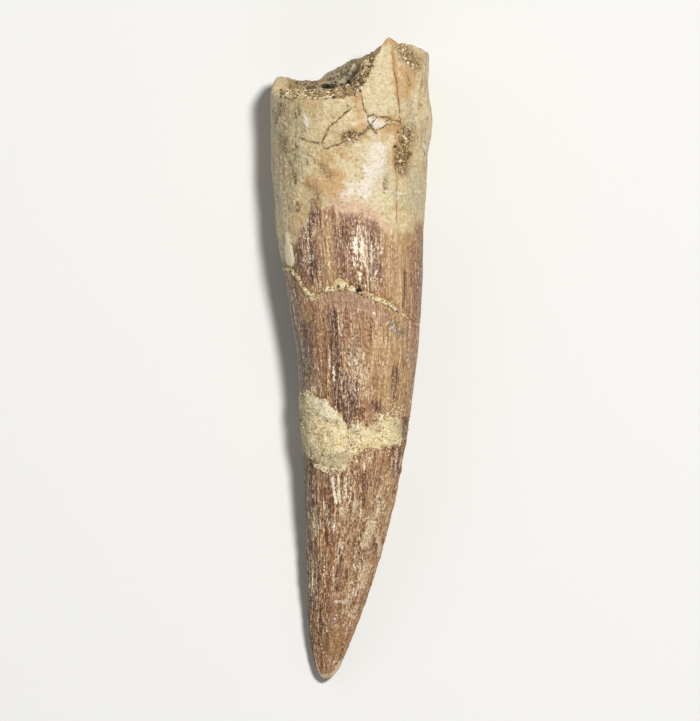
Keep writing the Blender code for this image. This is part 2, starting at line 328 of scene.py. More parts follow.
def line_gaps(x, y, lines):
    """Gap to the nearest line: with a sign and in that line's half widths, and plain in mm."""
    nearest = np.full(np.shape(x), 9.0)
    signed = np.full(np.shape(x), 99.0)
    for half_width, *points in lines:
        for (x0, y0), (x1, y1) in zip(points, points[1:]):
            run_x, run_y = x1 - x0, y1 - y0
            share = ((x - x0) * run_x + (y - y0) * run_y) / max(run_x ** 2 + run_y ** 2, 1e-9)
            share = np.clip(share, 0.0, 1.0)
            gap = np.hypot(x - x0 - share * run_x, y - y0 - share * run_y)
            side = np.where((x - x0) * run_y - (y - y0) * run_x > 0.0, 1.0, -1.0)
            closer = gap < nearest
            nearest = np.where(closer, gap, nearest)
            signed = np.where(closer, side * gap / half_width, signed)
    return signed, nearest


def brush(strokes, ragged=0.35):
    """Soft patches from 0 to 1 on the upper side: half width, strength, then the points."""
    x, y = plan_x + ragged * warp, plan_y + ragged * warp_across
    total = np.zeros(plan_x.shape)
    for half_width, strength, *points in strokes:
        _, gap = line_gaps(x, y, [(1.0, points[0], *points)])
        total = np.maximum(total, strength * soft_step(1.6, 0.3, gap / half_width))
    return total * seen


def far_side(at, start, end, size, seed, octaves):
    """Patches on the side that isn't seen, placed by noise."""
    return under * soft_step(start, end, soft_noise(at, size, seed, octaves))


upper_signed, upper_gap = line_gaps(plan_x + fine_warp, plan_y - fine_warp, ROOT_CRACKS)
under_signed, under_gap = line_gaps(plan_x + fine_warp, plan_y - fine_warp, UNDER_CRACKS)
crack_signed = np.where(seen, upper_signed, under_signed)
crack_gap = np.where(seen, upper_gap, under_gap)
print("Cracks in the root:", len(ROOT_CRACKS), "above and", len(UNDER_CRACKS), "below")

# %% [markdown]
# Two more lines cross the tooth: the zigzag break, and the ragged edge where enamel gives way to
# root. Around the break the bead of sand is thick in places and missing in others.

# %% The break and the edge of the enamel
BREAK = (
    [(-5.8, 9.0), (-5.15, 7.9), (-4.45, 7.1), (-3.85, 6.15), (-3.0, 6.55), (-2.0, 7.1),
     (-1.0, 7.6), (0.5, 6.95), (1.5, 6.55), (3.9, 5.65), (4.75, 4.9), (5.85, 4.2), (6.65, 3.5)],
    [(-6.3, 9.3), (-4.0, 8.2), (-1.5, 9.0), (1.0, 7.4), (3.5, 5.6), (5.8, 4.4)],
)
CROWN_EDGE = (
    [(-6.4, 10.0), (-5.5, 11.1), (-5.0, 12.3), (-4.4, 13.6), (-3.75, 15.6), (-2.5, 15.0),
     (-1.0, 14.6), (1.0, 15.0), (2.6, 13.9), (3.5, 13.0), (5.0, 13.0), (7.0, 13.9)],
    [(-6.0, 11.5), (-3.0, 13.5), (0.0, 14.6), (3.0, 13.0), (6.0, 14.0)],
)
seam = around(BREAK)
from_seam = grid_y - seam + 0.10 * soft_noise(plan, 0.6, 64, 3)
crown_edge = around(CROWN_EDGE)
root_share = soft_step(-0.8, 0.8, grid_y - crown_edge + 0.8 * soft_noise(plan, 1.6, 41, 4))
root_share = np.maximum(root_share, np.where(inside > 0.0, 1.0, 0.0))
print("The break runs from y =", seam.min().round(1), "to", seam.max().round(1), "mm")

# %% [markdown]
# Enamel striae are low ridges that run from root to tip and crowd together as the crown narrows.
# A wave counted in turns does exactly that. Noise along the wave makes ridges branch and fade, and
# beads them, as on a real crown. The root is gently lumpy, and that is a sum of two slow waves.

# %% Relief: ridges and lumps
STRIAE = 62
STRIA_HEIGHT = 0.16
LUMP_HEIGHT = 0.12
WORM_HEIGHT = 0.02
WORM_AT_TIP = 0.03

tip_share = soft_step(-3.0, -13.0, grid_y)
phase = STRIAE * grid_turn / (2.0 * np.pi) + soft_noise(streaks, 1.6, 51, 2)
phase = phase + (0.15 + 0.35 * tip_share) * soft_noise(plan, 1.3, 54, 2)
crest = 1.0 - np.abs(2.0 * (phase % 1.0) - 1.0)
beads = soft_noise(flow_places(grid_turn, grid_y, 0.45), 0.55, 55, 2)
strength = 0.65 + 0.40 * soft_noise(streaks, 1.1, 52, 2) + (0.12 + 0.20 * tip_share) * beads
strength = strength * soft_step(TIP_Y, TIP_Y + 4.0, grid_y) * (1.0 - root_share)
stria = crest ** 1.6 * np.clip(strength, 0.0, 1.2)
worm = soft_noise(flow_places(grid_turn, grid_y, 0.40), 0.40, 53, 2) * (1.0 - root_share)

lumps = np.sin(3.0 * grid_turn + 0.35 * grid_y) * np.sin(0.55 * grid_y + 1.0)
lumps = lumps + 0.6 * np.sin(7.0 * grid_turn - 0.8 * grid_y + 2.0)
lumps = LUMP_HEIGHT * lumps * np.clip((grid_y - 14.0) / 3.0, 0.25, 1.0)

lift = lumps + STRIA_HEIGHT * (0.55 + 0.75 * tip_share) * (stria - 0.35)
lift = lift + (WORM_HEIGHT + WORM_AT_TIP * tip_share) * worm
print("Ridges round the crown:", STRIAE)

# %% [markdown]
# The rest of the relief is what happened to the tooth. Its dentine cracked into plates that sit at
# slightly different levels, so the ground steps up on one side of a crack. Pits are eaten into it,
# chips have left the enamel, and one pale flake stands up. All of them are places on the plan.

# %% Relief: damage
ROOT_ROUGHNESS = 0.05
ROOT_SWELL = 0.10
PLATE_STEP = 0.07
CRACK_DEPTH = 0.05
PIT_DEPTH = 0.08
PIT_CELL_DEPTH = 0.16
CHIP_DEPTH = 0.10
SEAM_DEPTH = 0.28
CROWN_SET_BACK = 0.05
HOLE_DEPTH = 0.30
FLAKE_HEIGHT = 0.24
BREAK_ROUGHNESS = 0.10
BREAK_ROUGHNESS_ALONG = 0.25

# Half width, depth share, then the points of each place.
FLAKE = [
    (0.22, 1.0, (-6.2, 12.5), (-6.15, 11.6)),
    (0.46, 1.0, (-6.1, 11.3), (-5.9, 10.4), (-5.75, 9.8)),
]
PITTED = [
    (0.85, 1.0, (5.75, 22.6), (5.6, 21.0), (5.4, 19.3)),
    (0.75, 0.9, (5.3, 31.0), (6.2, 30.1), (6.6, 29.6)),
    (0.55, 0.9, (-0.4, 22.1), (0.6, 22.4)),
    (0.20, 0.8, (3.7, 17.9), (3.6, 17.0)),
    (0.40, 0.7, (-2.75, 19.3), (-1.9, 18.5)),
    (0.45, 0.6, (-3.8, 17.2), (-3.4, 15.9)),
    (0.35, 0.6, (5.0, 19.2), (5.8, 18.7)),
    (0.40, 0.6, (-7.0, 22.3), (-6.9, 21.5)),
]
# The inside of this hole is painted near black, as painted shade.
HOLE = [(0.24, 1.0, (0.95, 6.92), (1.25, 6.72))]
CHIPS = [
    (0.50, 1.0, (2.1, -13.9), (2.0, -15.4)),
    (0.35, 1.0, (-3.6, -15.2), (-3.4, -16.6)),
    (0.45, 1.0, (-2.7, -28.9), (-2.2, -29.9)),
    (0.30, 1.0, (1.5, -5.2), (2.9, -5.5)),
    (0.40, 1.0, (-0.6, -18.4), (-0.8, -19.3)),
    (0.35, 1.0, (4.4, 3.6), (5.3, 2.8)),
    (0.50, 1.0, (-2.7, -22.5), (-2.5, -23.9)),
]

pitted = np.maximum(brush(PITTED), far_side(plan, 0.55, 0.95, 2.6, 63, 3) * root_share)
pit_cells, _ = cell_noise(plan + 0.1 * warp[..., None], 0.42, 68)
chips = brush(CHIPS, 0.25)
flake = brush(FLAKE, 0.12)
hole = brush(HOLE, 0.06)
seam_open = np.where(seen, soft_step(5.3, 4.7, plan_x), 1.0) * 0.8 + 0.2
seam_groove = soft_step(0.30, 0.05, np.abs(from_seam)) * seam_open
plate_step = 0.5 * np.sign(crack_signed) * np.exp(-crack_gap / 0.6)

lift = lift + root_share * ROOT_ROUGHNESS * soft_noise(plan, 0.8, 66, 4)
lift = lift + root_share * ROOT_SWELL * soft_noise(plan, 3.0, 67, 2)
lift = lift + root_share * PLATE_STEP * plate_step
lift = lift - CRACK_DEPTH * soft_step(0.12, 0.03, crack_gap)
lift = lift - pitted * (PIT_DEPTH + PIT_CELL_DEPTH * soft_step(0.55, 0.15, pit_cells))
lift = lift - CHIP_DEPTH * soft_step(0.40, 0.60, chips)
lift = lift - SEAM_DEPTH * seam_groove - CROWN_SET_BACK * soft_step(0.6, 0.0, from_seam)
lift = lift - HOLE_DEPTH * hole + FLAKE_HEIGHT * flake
rough = soft_noise(plan, 0.9, 71, 4)
lift = np.where(inside > 0.0, BREAK_ROUGHNESS * rough, lift)
rough_y = np.where(inside == 0.5, BREAK_ROUGHNESS_ALONG * rough, 0.0)
grid = skin(grid_turn, np.minimum(grid_y + rough_y, top_y), base_lift + lift)
print("Relief from", lift.min().round(2), "to", lift.max().round(2), "mm")

# %% [markdown]
# The colours of a fossil follow its history: where ground water stained it, where enamel wore off,
# where sand stuck. Each of those is a soft map from 0 to 1 over the grid. The material later breaks
# the edges of these maps up with finer noise, so they only need to be roughly in place.

# %% Colour over the root: pale, white and warm patches
# Each patch is its half width in mm, its strength, and the points it runs through.
PALE = [
    (1.0, 1.0, (3.3, 30.6), (3.4, 28.6), (3.3, 26.6)),
    (1.1, 0.9, (2.2, 25.4), (4.2, 25.2)),
    (1.6, 1.0, (2.6, 20.6), (2.8, 18.6), (2.2, 16.8)),
    (1.1, 0.9, (0.4, 17.4), (1.6, 16.4), (3.2, 15.4)),
    (0.8, 0.7, (-1.4, 19.6), (0.6, 18.6)),
    (0.6, 0.6, (-2.6, 24.8), (-0.8, 25.4)),
    (0.5, 0.6, (-5.1, 24.3), (-4.9, 22.9)),
    (0.8, 0.5, (-4.6, 20.6), (-4.0, 19.0)),
    (0.8, 1.0, (-6.9, 28.4), (-6.8, 27.0)),
]
WHITE = [
    (0.10, 0.9, (3.3, 17.8), (3.25, 17.1), (3.7, 16.7), (5.4, 16.6), (7.2, 16.7)),
    (0.28, 1.0, (1.95, 23.95), (2.6, 23.80)),
    (0.28, 1.0, (2.5, 23.35), (3.4, 23.45)),
    (1.0, 0.75, (2.8, 20.8), (2.6, 19.0), (1.6, 17.4)),
    (0.7, 0.65, (1.8, 16.6), (0.2, 17.2), (-0.6, 16.2)),
    # These two small spots are painted highlights.
    (0.35, 0.9, (1.6, 19.3), (2.1, 18.9)),
    (0.3, 0.9, (1.1, 16.6), (1.6, 16.2)),
    (0.30, 1.0, (7.35, 21.4), (7.6, 21.2)),
    (0.16, 1.0, (-5.05, 24.1), (-4.95, 23.8)),
    (0.16, 1.0, (-4.45, 24.3), (-4.35, 24.0)),
    (0.18, 1.0, (-4.35, 23.6), (-4.25, 23.3)),
    (0.14, 0.9, (-7.2, 22.4), (-7.0, 22.1)),
    (0.25, 0.8, (-4.9, 18.2), (-4.6, 17.7)),
]
WARM = [
    (0.28, 1.0, (4.4, 30.8), (4.6, 29.0), (4.75, 27.2), (4.95, 25.4)),
    (0.30, 1.0, (1.9, 29.5), (2.9, 30.8), (3.7, 31.8)),
    (0.55, 0.9, (3.0, 31.2), (4.2, 31.6)),
    (0.75, 0.8, (5.6, 28.8), (5.8, 27.6), (5.5, 26.2)),
    (0.40, 0.9, (3.9, 24.0), (5.1, 23.6)),
    (0.50, 0.9, (3.5, 22.9), (4.9, 22.9)),
    (0.50, 0.8, (5.0, 22.4), (4.7, 19.0)),
    (0.9, 0.7, (-2.6, 20.2), (-1.9, 18.6), (-0.9, 17.6)),
    (0.9, 0.7, (-4.0, 17.8), (-2.4, 17.0), (-1.0, 16.4)),
    (0.6, 0.6, (-2.2, 20.8), (-0.4, 20.6)),
    (0.55, 0.7, (0.3, 26.2), (0.8, 25.2), (0.9, 24.2)),
    (0.5, 0.8, (-0.6, 22.2), (0.8, 22.5), (1.6, 23.2)),
    (0.30, 0.9, (3.3, 18.4), (3.5, 17.0)),
    (0.9, 0.5, (-5.6, 26.2), (-3.2, 25.4)),
    (0.6, 0.8, (2.2, 30.8), (3.4, 31.6)),
    (0.7, 0.5, (-5.6, 16.6), (-4.8, 14.6), (-5.2, 12.8)),
]
pale = brush(PALE) + far_side(plan, 0.0, 0.8, 4.0, 82, 3)
white = brush(WHITE, 0.12) + far_side(plan, 0.4, 1.0, 3.0, 83, 3)
warm = brush(WARM) + far_side(plan, 0.1, 0.9, 2.6, 84, 3)
warm = np.maximum(warm, 0.8 * soft_step(0.35, 0.0, crack_gap) * (warp > -0.1))
print("Pale, white and warm patches:", len(PALE + WHITE + WARM))

# %% [markdown]
# Rust lies in thin lines along the cracks, and brown stains are small dark marks. The tints are
# broad: pink where the enamel thins out, cool grey green at the sides, and dark patches near the
# edges that are partly dirt and partly painted shade. All along its left edge, the side away from
# the key light, the tooth is darkened as painted shade.

# %% Colour over the root: rust, stains and tints
RUST = [
    (0.20, 1.0, (4.45, 30.4), (4.5, 29.0), (4.65, 27.6)),
    (0.22, 0.9, (2.1, 29.9), (3.0, 31.0), (3.7, 31.9)),
    (0.10, 0.8, (3.45, 17.9), (3.4, 17.3), (3.9, 16.9)),
    (0.14, 0.9, (4.7, 27.4), (4.85, 25.8), (5.05, 24.6)),
    (0.16, 0.9, (2.9, 24.2), (3.8, 24.1), (4.9, 23.7)),
    (0.20, 0.8, (3.0, 22.9), (4.2, 23.1), (5.0, 23.2)),
    (0.25, 0.8, (4.95, 22.6), (4.8, 20.4), (5.0, 19.4)),
    (0.30, 0.9, (0.9, 26.4), (0.5, 25.7)),
    (0.20, 0.9, (1.2, 22.4), (1.9, 22.1)),
    (0.12, 1.0, (3.4, 17.6), (3.5, 17.2)),
    (0.10, 1.0, (4.66, 15.6), (4.66, 14.2)),
    (0.30, 0.7, (-2.0, 20.0), (-1.6, 19.6)),
    (0.24, 0.7, (-3.3, 16.2), (-2.9, 15.4)),
    (0.30, 0.6, (3.2, 31.4), (4.0, 31.9)),
]
STAIN = [
    (0.12, 1.0, (1.2, 22.45), (1.7, 22.85), (2.15, 23.25)),
    (0.11, 1.0, (2.15, 23.2), (2.6, 22.65)),
    (0.10, 1.0, (-4.75, 22.04), (-4.25, 21.75), (-3.25, 21.6), (-2.8, 21.64)),
    (0.30, 1.0, (-6.95, 25.4), (-7.0, 24.5)),
    (0.16, 0.9, (-7.45, 24.7), (-7.4, 23.6)),
    (0.14, 0.9, (-5.6, 24.6), (-5.5, 24.2)),
    (0.14, 0.9, (-5.15, 25.0), (-5.05, 24.5)),
    (0.20, 0.8, (-4.6, 23.4), (-4.5, 22.8)),
    (0.34, 0.8, (-6.2, 22.2), (-6.5, 21.4), (-6.35, 20.8)),
    (0.16, 1.0, (-5.3, 21.4), (-5.15, 21.2)),
    (0.16, 0.9, (-6.05, 19.8), (-6.0, 19.4)),
    (0.16, 0.9, (-4.3, 20.0), (-4.25, 19.4)),
    (0.14, 0.8, (-3.55, 20.1), (-3.45, 19.6)),
    (0.16, 0.7, (-4.15, 20.7), (-4.05, 20.3)),
    (0.20, 1.0, (-5.6, 18.4), (-5.5, 17.6)),
    (0.12, 1.0, (-6.6, 17.0), (-6.6, 16.9)),
    (0.11, 1.0, (-2.65, 19.05), (-2.6, 19.0)),
    (0.11, 1.0, (-2.42, 18.7), (-2.4, 18.6)),
    (0.11, 1.0, (-2.03, 18.7), (-2.0, 18.6)),
    (0.22, 1.0, (-5.25, 15.6), (-5.2, 14.8)),
    (0.40, 0.8, (-3.7, 15.7), (-3.3, 15.0)),
    (0.11, 0.9, (-0.6, 25.1), (-0.55, 25.0)),
    (0.11, 0.9, (-0.25, 25.3), (-0.2, 25.2)),
    (0.12, 1.0, (0.45, 25.2), (0.5, 25.1)),
    (0.10, 0.9, (0.36, 23.9), (0.4, 23.8)),
    (0.14, 1.0, (0.3, 21.8), (0.45, 21.7)),
    (0.10, 0.9, (0.6, 18.3), (0.62, 18.2)),
    (0.10, 0.8, (0.5, 16.8), (0.52, 16.7)),
    (0.35, 0.6, (5.6, 28.6), (5.9, 27.4)),
    (0.30, 0.7, (5.7, 31.0), (6.5, 29.7)),
]
PINK = [
    (0.9, 1.0, (-1.6, 15.2), (0.6, 14.9), (2.4, 14.4)),
    (0.6, 0.8, (2.4, 14.2), (3.6, 12.8)),
    (0.7, 0.5, (-0.6, 16.2), (0.8, 15.8)),
]
COOL = [
    (0.45, 1.0, (6.35, 25.6), (6.1, 24.2), (5.8, 23.2)),
    (0.9, 0.6, (-6.9, 22.6), (-6.8, 19.0), (-6.6, 15.4)),
    (0.6, 0.5, (-6.0, 21.6), (-5.6, 20.2)),
    (1.0, 0.8, (6.2, 18.8), (6.6, 16.0)),
    (0.9, 0.7, (4.4, 16.6), (6.6, 15.4)),
    (1.1, 0.7, (-5.4, 23.6), (-5.0, 20.4)),
    (0.9, 0.6, (3.4, 20.4), (3.6, 17.0)),
]
# Partly dirt, partly painted shade near the left and right edges of the root.
GRIME_AND_EDGE_SHADE = [
    (1.2, 1.0, (-6.9, 26.0), (-6.8, 22.0), (-6.6, 18.0)),
    (1.1, 0.7, (-5.4, 24.6), (-5.6, 20.4), (-5.2, 17.6)),
    (0.5, 0.9, (-7.3, 25.0), (-7.2, 21.0)),
    (0.6, 0.5, (7.4, 30.0), (7.4, 22.0)),
]
pink = brush(PINK) + under * 0.7 * soft_step(1.8, 0.4, np.abs(grid_y - crown_edge - 0.4))
cool = brush(COOL)
rust = brush(RUST, 0.18)
stain = brush(STAIN, 0.10)
# Painted shade: the left edge of the whole tooth is darkened, on the side away from the key light.
left_edge_shade = soft_step(-0.45, -0.95, np.cos(grid_turn) + 0.18 * soft_noise(plan, 2.0, 89, 2))
grime_and_edge_shade = np.maximum(brush(GRIME_AND_EDGE_SHADE) * root_share, 0.8 * left_edge_shade)
print("Rust, stains and tints:", len(RUST + STAIN + PINK + COOL + GRIME_AND_EDGE_SHADE))

# %% [markdown]
# The crown is coloured in long streaks, because water ran along the striae. Tan runs down the
# right, dark brown fills the valleys in the middle, and a smooth lilac grey skin is left under the
# break. The dark strokes that run along the left edge are painted shade.

# %% Colour over the crown: streaks
TAN = [
    (1.2, 1.0, (4.9, 13.0), (5.0, 9.0), (4.9, 5.6)),
    (1.1, 1.0, (4.6, 3.4), (4.6, 0.0), (4.3, -4.2)),
    (0.7, 0.7, (-2.2, 12.6), (-2.2, 8.2)),
    (1.0, 0.8, (2.9, 1.8), (2.9, -3.4)),
    (0.6, 0.7, (2.2, -13.6), (1.8, -15.6)),
    (0.75, 1.0, (-0.5, -26.4), (-0.9, -28.4), (-1.2, -29.4)),
    (0.32, 1.0, (1.6, -23.6), (0.6, -27.2), (-0.2, -29.6)),
    (0.5, 0.7, (3.9, -11.0), (3.4, -17.0)),
    (0.5, 0.6, (-5.4, 8.6), (-4.9, 7.0)),
    (0.6, 0.5, (-6.5, 13.0), (-6.4, 9.6)),
    (0.32, 0.6, (3.6, -15.5), (2.2, -20.5), (0.6, -26.0), (-0.4, -29.5)),
    (0.5, 0.8, (-4.6, 4.4), (-4.4, 2.0)),
]
# Dark brown streaks. The strokes near x = -4 to -5.6, along the left edge, are painted shade on the
# side away from the key light.
DARK = [
    (1.1, 0.7, (-4.1, 14.4), (-4.4, 11.6), (-4.0, 8.6)),
    (0.5, 0.4, (-0.8, 12.6), (-0.7, 8.4)),
    (0.8, 0.5, (2.6, 13.2), (2.6, 8.2)),
    (0.22, 0.7, (5.5, 8.8), (5.5, 5.2)),
    (0.30, 0.4, (6.8, 13.0), (6.85, 6.0)),
    (0.50, 1.0, (-1.6, 4.7), (-1.5, 3.0)),
    (0.55, 0.9, (-1.5, 3.0), (-1.2, -1.6)),
    (0.7, 1.0, (-1.0, -1.6), (-1.0, -4.4)),
    (0.6, 1.0, (0.3, -2.6), (0.1, -4.6), (-0.15, -6.4)),
    (0.6, 0.7, (2.4, -4.6), (3.2, -5.0)),
    (0.7, 0.8, (-4.4, 3.4), (-4.2, -1.6)),
    (0.35, 0.7, (4.6, -0.6), (4.6, -4.0)),
    (0.35, 0.9, (5.6, -5.8), (5.5, -8.0)),
    (0.55, 1.0, (-4.1, -9.8), (-3.9, -13.0), (-3.8, -17.0)),
    (0.30, 1.0, (-2.0, -12.6), (-1.9, -13.4)),
    (0.20, 1.0, (0.25, -13.4), (0.25, -16.2)),
    (0.20, 1.0, (1.45, -10.6), (1.45, -14.2)),
    (0.16, 0.9, (4.6, -8.6), (4.55, -11.6)),
    (0.16, 0.9, (5.1, -8.6), (5.0, -11.4)),
    (0.40, 0.8, (-2.8, -24.6), (-2.8, -27.6)),
    (0.40, 0.6, (-3.4, -20.0), (-3.4, -23.4)),
    (0.30, 0.7, (3.2, -14.0), (2.4, -19.0)),
    (0.32, 1.0, (-4.75, -9.6), (-4.6, -13.0), (-4.4, -18.0)),
    (0.28, 0.9, (-4.3, -19.0), (-4.2, -24.0), (-4.0, -28.5)),
    (0.35, 0.9, (-5.6, 7.0), (-5.1, 2.0), (-4.9, -2.4)),
    (0.35, 0.7, (-1.0, -19.0), (-1.4, -23.0)),
    (0.6, 0.5, (-2.3, -11.8), (-2.3, -17.6)),
]
RED = [
    (0.6, 0.8, (-1.4, 3.6), (-1.2, -1.4)),
    (0.5, 1.0, (-2.0, -16.0), (-1.9, -18.2)),
    (0.9, 0.8, (-1.9, -21.2), (-1.8, -24.6)),
    (0.5, 0.7, (-1.1, -18.0), (-1.2, -19.2)),
    (0.5, 0.6, (-2.9, -9.8), (-2.8, -13.6)),
    (0.6, 0.5, (0.6, -12.0), (0.2, -17.6)),
    (0.5, 0.7, (-2.4, -28.0), (-2.4, -30.0)),
    (0.32, 0.6, (3.4, -16.5), (2.0, -21.5), (0.5, -26.5), (-0.5, -29.5)),
    (0.6, 0.6, (-0.2, -27.0), (-0.8, -29.5)),
    (0.7, 0.5, (0.8, -20.4), (0.6, -23.6)),
]
LILAC = [
    (0.8, 1.0, (-2.9, 6.0), (-1.4, 6.2), (0.4, 5.9), (2.0, 5.3)),
    (0.6, 0.8, (-1.2, 5.6), (1.6, 5.0), (3.4, 4.4)),
    (0.6, 0.7, (5.6, 3.2), (6.2, 0.4)),
    (0.9, 0.5, (0.4, 3.4), (0.9, -1.0)),
    (0.5, 0.8, (1.9, -4.9), (3.3, -5.6)),
    (0.7, 0.8, (-1.6, -24.4), (-1.5, -26.2)),
    (0.6, 0.7, (-2.4, -28.4), (-2.2, -30.8)),
    (0.35, 0.8, (-0.9, -20.0), (-1.1, -22.6)),
    (0.5, 0.6, (-0.6, 10.6), (1.4, 9.4)),
]
GREY = [
    (0.7, 0.9, (-4.7, 1.6), (-4.5, -2.6)),
    (0.55, 1.0, (-3.5, -14.6), (-3.5, -16.8)),
    (0.45, 1.0, (-3.7, -19.6), (-3.7, -25.0)),
    (0.6, 0.7, (4.3, 3.5), (5.1, 2.8)),
    (0.5, 0.7, (-3.8, -4.6), (-4.2, -9.2)),
]
tan = brush(TAN) + far_side(streaks, 0.2, 0.9, 3.0, 85, 2)
dark = brush(DARK, 0.15) + far_side(streaks, 0.2, 0.9, 1.6, 86, 2)
red = brush(RED) + far_side(streaks, 0.3, 0.9, 2.2, 87, 2)
lilac = brush(LILAC) + 0.7 * far_side(plan, 0.3, 0.9, 3.2, 90, 3)
grey = brush(GREY)
print("Streaks on the crown:", len(TAN + DARK + RED + LILAC + GREY))

# %% [markdown]
# Over the streaks lie dust and painted light. Sand dust stuck to the crown near the collar and
# down to the tip. Pale flecks in a few places and the broad highlight on the upper crown are
# painted glints. Nearly white lines along the crests are painted glints too, a few of them real
# scratches, and chalky rubs are duller and broader.

# %% Colour over the crown: dust, painted glints and scratches
DUST = [
    (0.9, 0.8, (2.7, -12.0), (2.9, -14.0), (2.4, -17.6)),
    (1.0, 0.8, (1.6, -19.6), (0.8, -23.0), (0.4, -26.0)),
    (0.5, 0.8, (-1.6, -16.2), (-1.2, -18.0)),
    (0.5, 0.9, (-0.8, -17.0), (-0.8, -18.6)),
    (0.35, 0.4, (-3.6, -20.0), (-3.6, -24.0)),
    (1.2, 0.7, (0.2, 0.6), (0.8, -1.0), (1.4, -3.2)),
    (0.8, 0.9, (4.4, -3.8), (5.2, -5.0), (4.0, -5.4)),
    (0.9, 0.7, (-4.2, -2.2), (-3.4, -3.2)),
    (0.6, 0.8, (-1.4, -10.4), (0.6, -9.9), (3.0, -9.4)),
    (0.5, 0.9, (-3.3, -1.2), (-3.6, -3.4)),
    (0.25, 1.0, (-1.9, -26.6), (-0.2, -26.7)),
    (0.8, 0.5, (0.2, -12.4), (0.2, -17.4)),
    (0.5, 0.6, (2.6, 4.4), (4.6, 3.4)),
    (0.30, 0.9, (-1.6, -30.1), (-1.2, -31.0)),
]
# Painted highlights: pale flecks in a few places and the broad highlight on the upper crown, where
# the key light would reflect.
PAINTED_GLINTS = [
    (1.0, 1.0, (0.6, 12.6), (0.9, 9.6), (1.1, 7.6)),
    (0.6, 0.8, (-4.0, 13.6), (-4.2, 9.0)),
    (0.6, 0.6, (2.8, 12.0), (2.9, 7.6)),
    (0.7, 0.9, (-0.2, -11.4), (-0.2, -14.2)),
    (0.5, 0.8, (-2.2, -15.6), (-1.0, -17.6)),
    (1.0, 0.8, (0.2, 0.8), (0.9, -1.0), (1.2, -3.2)),
    (0.5, 0.8, (4.2, 3.4), (5.0, 2.9)),
    (0.7, 0.7, (3.4, -12.6), (2.8, -17.0)),
    (0.7, 0.8, (1.4, -17.6), (0.6, -22.6), (-0.4, -26.6)),
    (0.4, 0.3, (-3.8, -20.0), (-3.7, -24.0)),
    (0.4, 0.7, (-3.6, -0.6), (-3.0, -3.0)),
]
# Painted highlights: nearly white glint lines along the crests and highlight blobs on the crown, a
# few of them real scratches.
GLINT_LINES_AND_SCRATCHES = [
    (0.15, 1.0, (-1.72, -11.9), (-1.62, -12.9), (-1.36, -14.2)),
    (0.14, 1.0, (-1.2, -11.5), (-1.12, -12.8), (-0.98, -14.1)),
    (0.11, 0.7, (-0.55, -11.6), (-0.3, -12.0), (-0.5, -12.6)),
    (0.16, 0.6, (-0.4, -12.9), (-0.25, -13.6)),
    (0.10, 0.7, (0.65, -10.3), (0.75, -10.1)),
    (0.10, 0.7, (1.45, -10.2), (1.42, -10.9)),
    (0.09, 0.6, (1.14, -13.9), (1.12, -16.0)),
    (0.10, 0.5, (4.72, -9.2), (4.66, -11.6)),
    (0.10, 0.5, (3.3, -11.6), (3.4, -12.4)),
    (0.13, 0.5, (2.85, -13.4), (2.8, -15.6)),
    (0.08, 0.5, (1.55, -15.85), (2.6, -15.75)),
    (0.16, 0.7, (-1.62, -16.3), (-1.58, -16.9)),
    (0.18, 0.6, (-0.8, -15.0), (-0.3, -14.8)),
    (0.12, 0.6, (-2.6, -14.2), (-2.4, -15.6)),
    (0.26, 0.8, (0.55, 11.9), (0.62, 10.8)),
    (0.20, 0.8, (1.25, 12.2), (1.3, 10.2)),
    (0.16, 0.7, (1.0, 8.8), (1.05, 7.8)),
    (0.12, 0.7, (2.15, 11.6), (2.2, 9.4)),
    (0.20, 0.4, (0.2, 9.9), (0.5, 9.4)),
    (0.12, 0.7, (-2.3, 14.3), (-2.25, 14.1)),
    (0.07, 0.4, (-2.05, 13.4), (-2.0, 8.6)),
    (0.07, 0.4, (-2.85, 13.0), (-2.8, 8.0)),
    (0.07, 0.4, (4.15, 13.0), (4.2, 7.4)),
    (0.12, 0.7, (2.45, 4.7), (2.5, 4.6)),
    (0.12, 0.7, (0.85, 4.9), (0.9, 4.8)),
    (0.14, 0.6, (4.2, 3.3), (4.6, 3.0)),
    (0.10, 0.6, (-2.05, 0.0), (-1.95, -1.0)),
    (0.14, 0.7, (0.5, 0.0), (0.7, -0.4)),
    (0.10, 0.6, (0.2, -2.4), (0.6, -3.0), (0.5, -3.6)),
    (0.14, 0.7, (-3.45, -2.9), (-3.4, -3.2)),
    (0.10, 0.6, (-1.6, -0.6), (-1.5, -2.2)),
    (0.14, 0.5, (-2.0, -17.8), (-1.8, -18.4)),
    (0.16, 0.5, (-0.9, -18.2), (-0.8, -18.8)),
    (0.10, 0.5, (0.6, -18.6), (0.5, -20.8)),
    (0.14, 0.6, (0.1, -22.1), (0.3, -22.2)),
    (0.10, 0.5, (-1.1, -18.6), (-1.2, -20.4)),
    (0.10, 0.4, (-2.6, -19.4), (-2.5, -22.6)),
    (0.10, 0.5, (-1.7, -20.6), (-1.6, -22.4)),
    (0.09, 0.6, (-1.8, -24.3), (-0.2, -24.2)),
    (0.10, 0.5, (-1.3, -25.2), (-1.5, -26.2)),
    (0.14, 0.6, (-2.3, -26.9), (-2.2, -27.4)),
    (0.08, 0.5, (-1.4, -26.6), (0.2, -26.7)),
    (0.09, 0.5, (0.9, -24.6), (0.0, -26.6)),
    (0.08, 0.4, (-0.3, -26.8), (-0.7, -29.8)),
    (0.10, 0.5, (-1.9, -29.9), (-1.4, -30.4)),
    (0.08, 0.4, (-3.7, -28.3), (-2.7, -28.6)),
    (0.08, 0.4, (-3.4, -28.7), (-2.0, -29.9)),
    (0.10, 0.6, (-3.9, -19.8), (-3.7, -21.6), (-3.85, -23.6)),
]
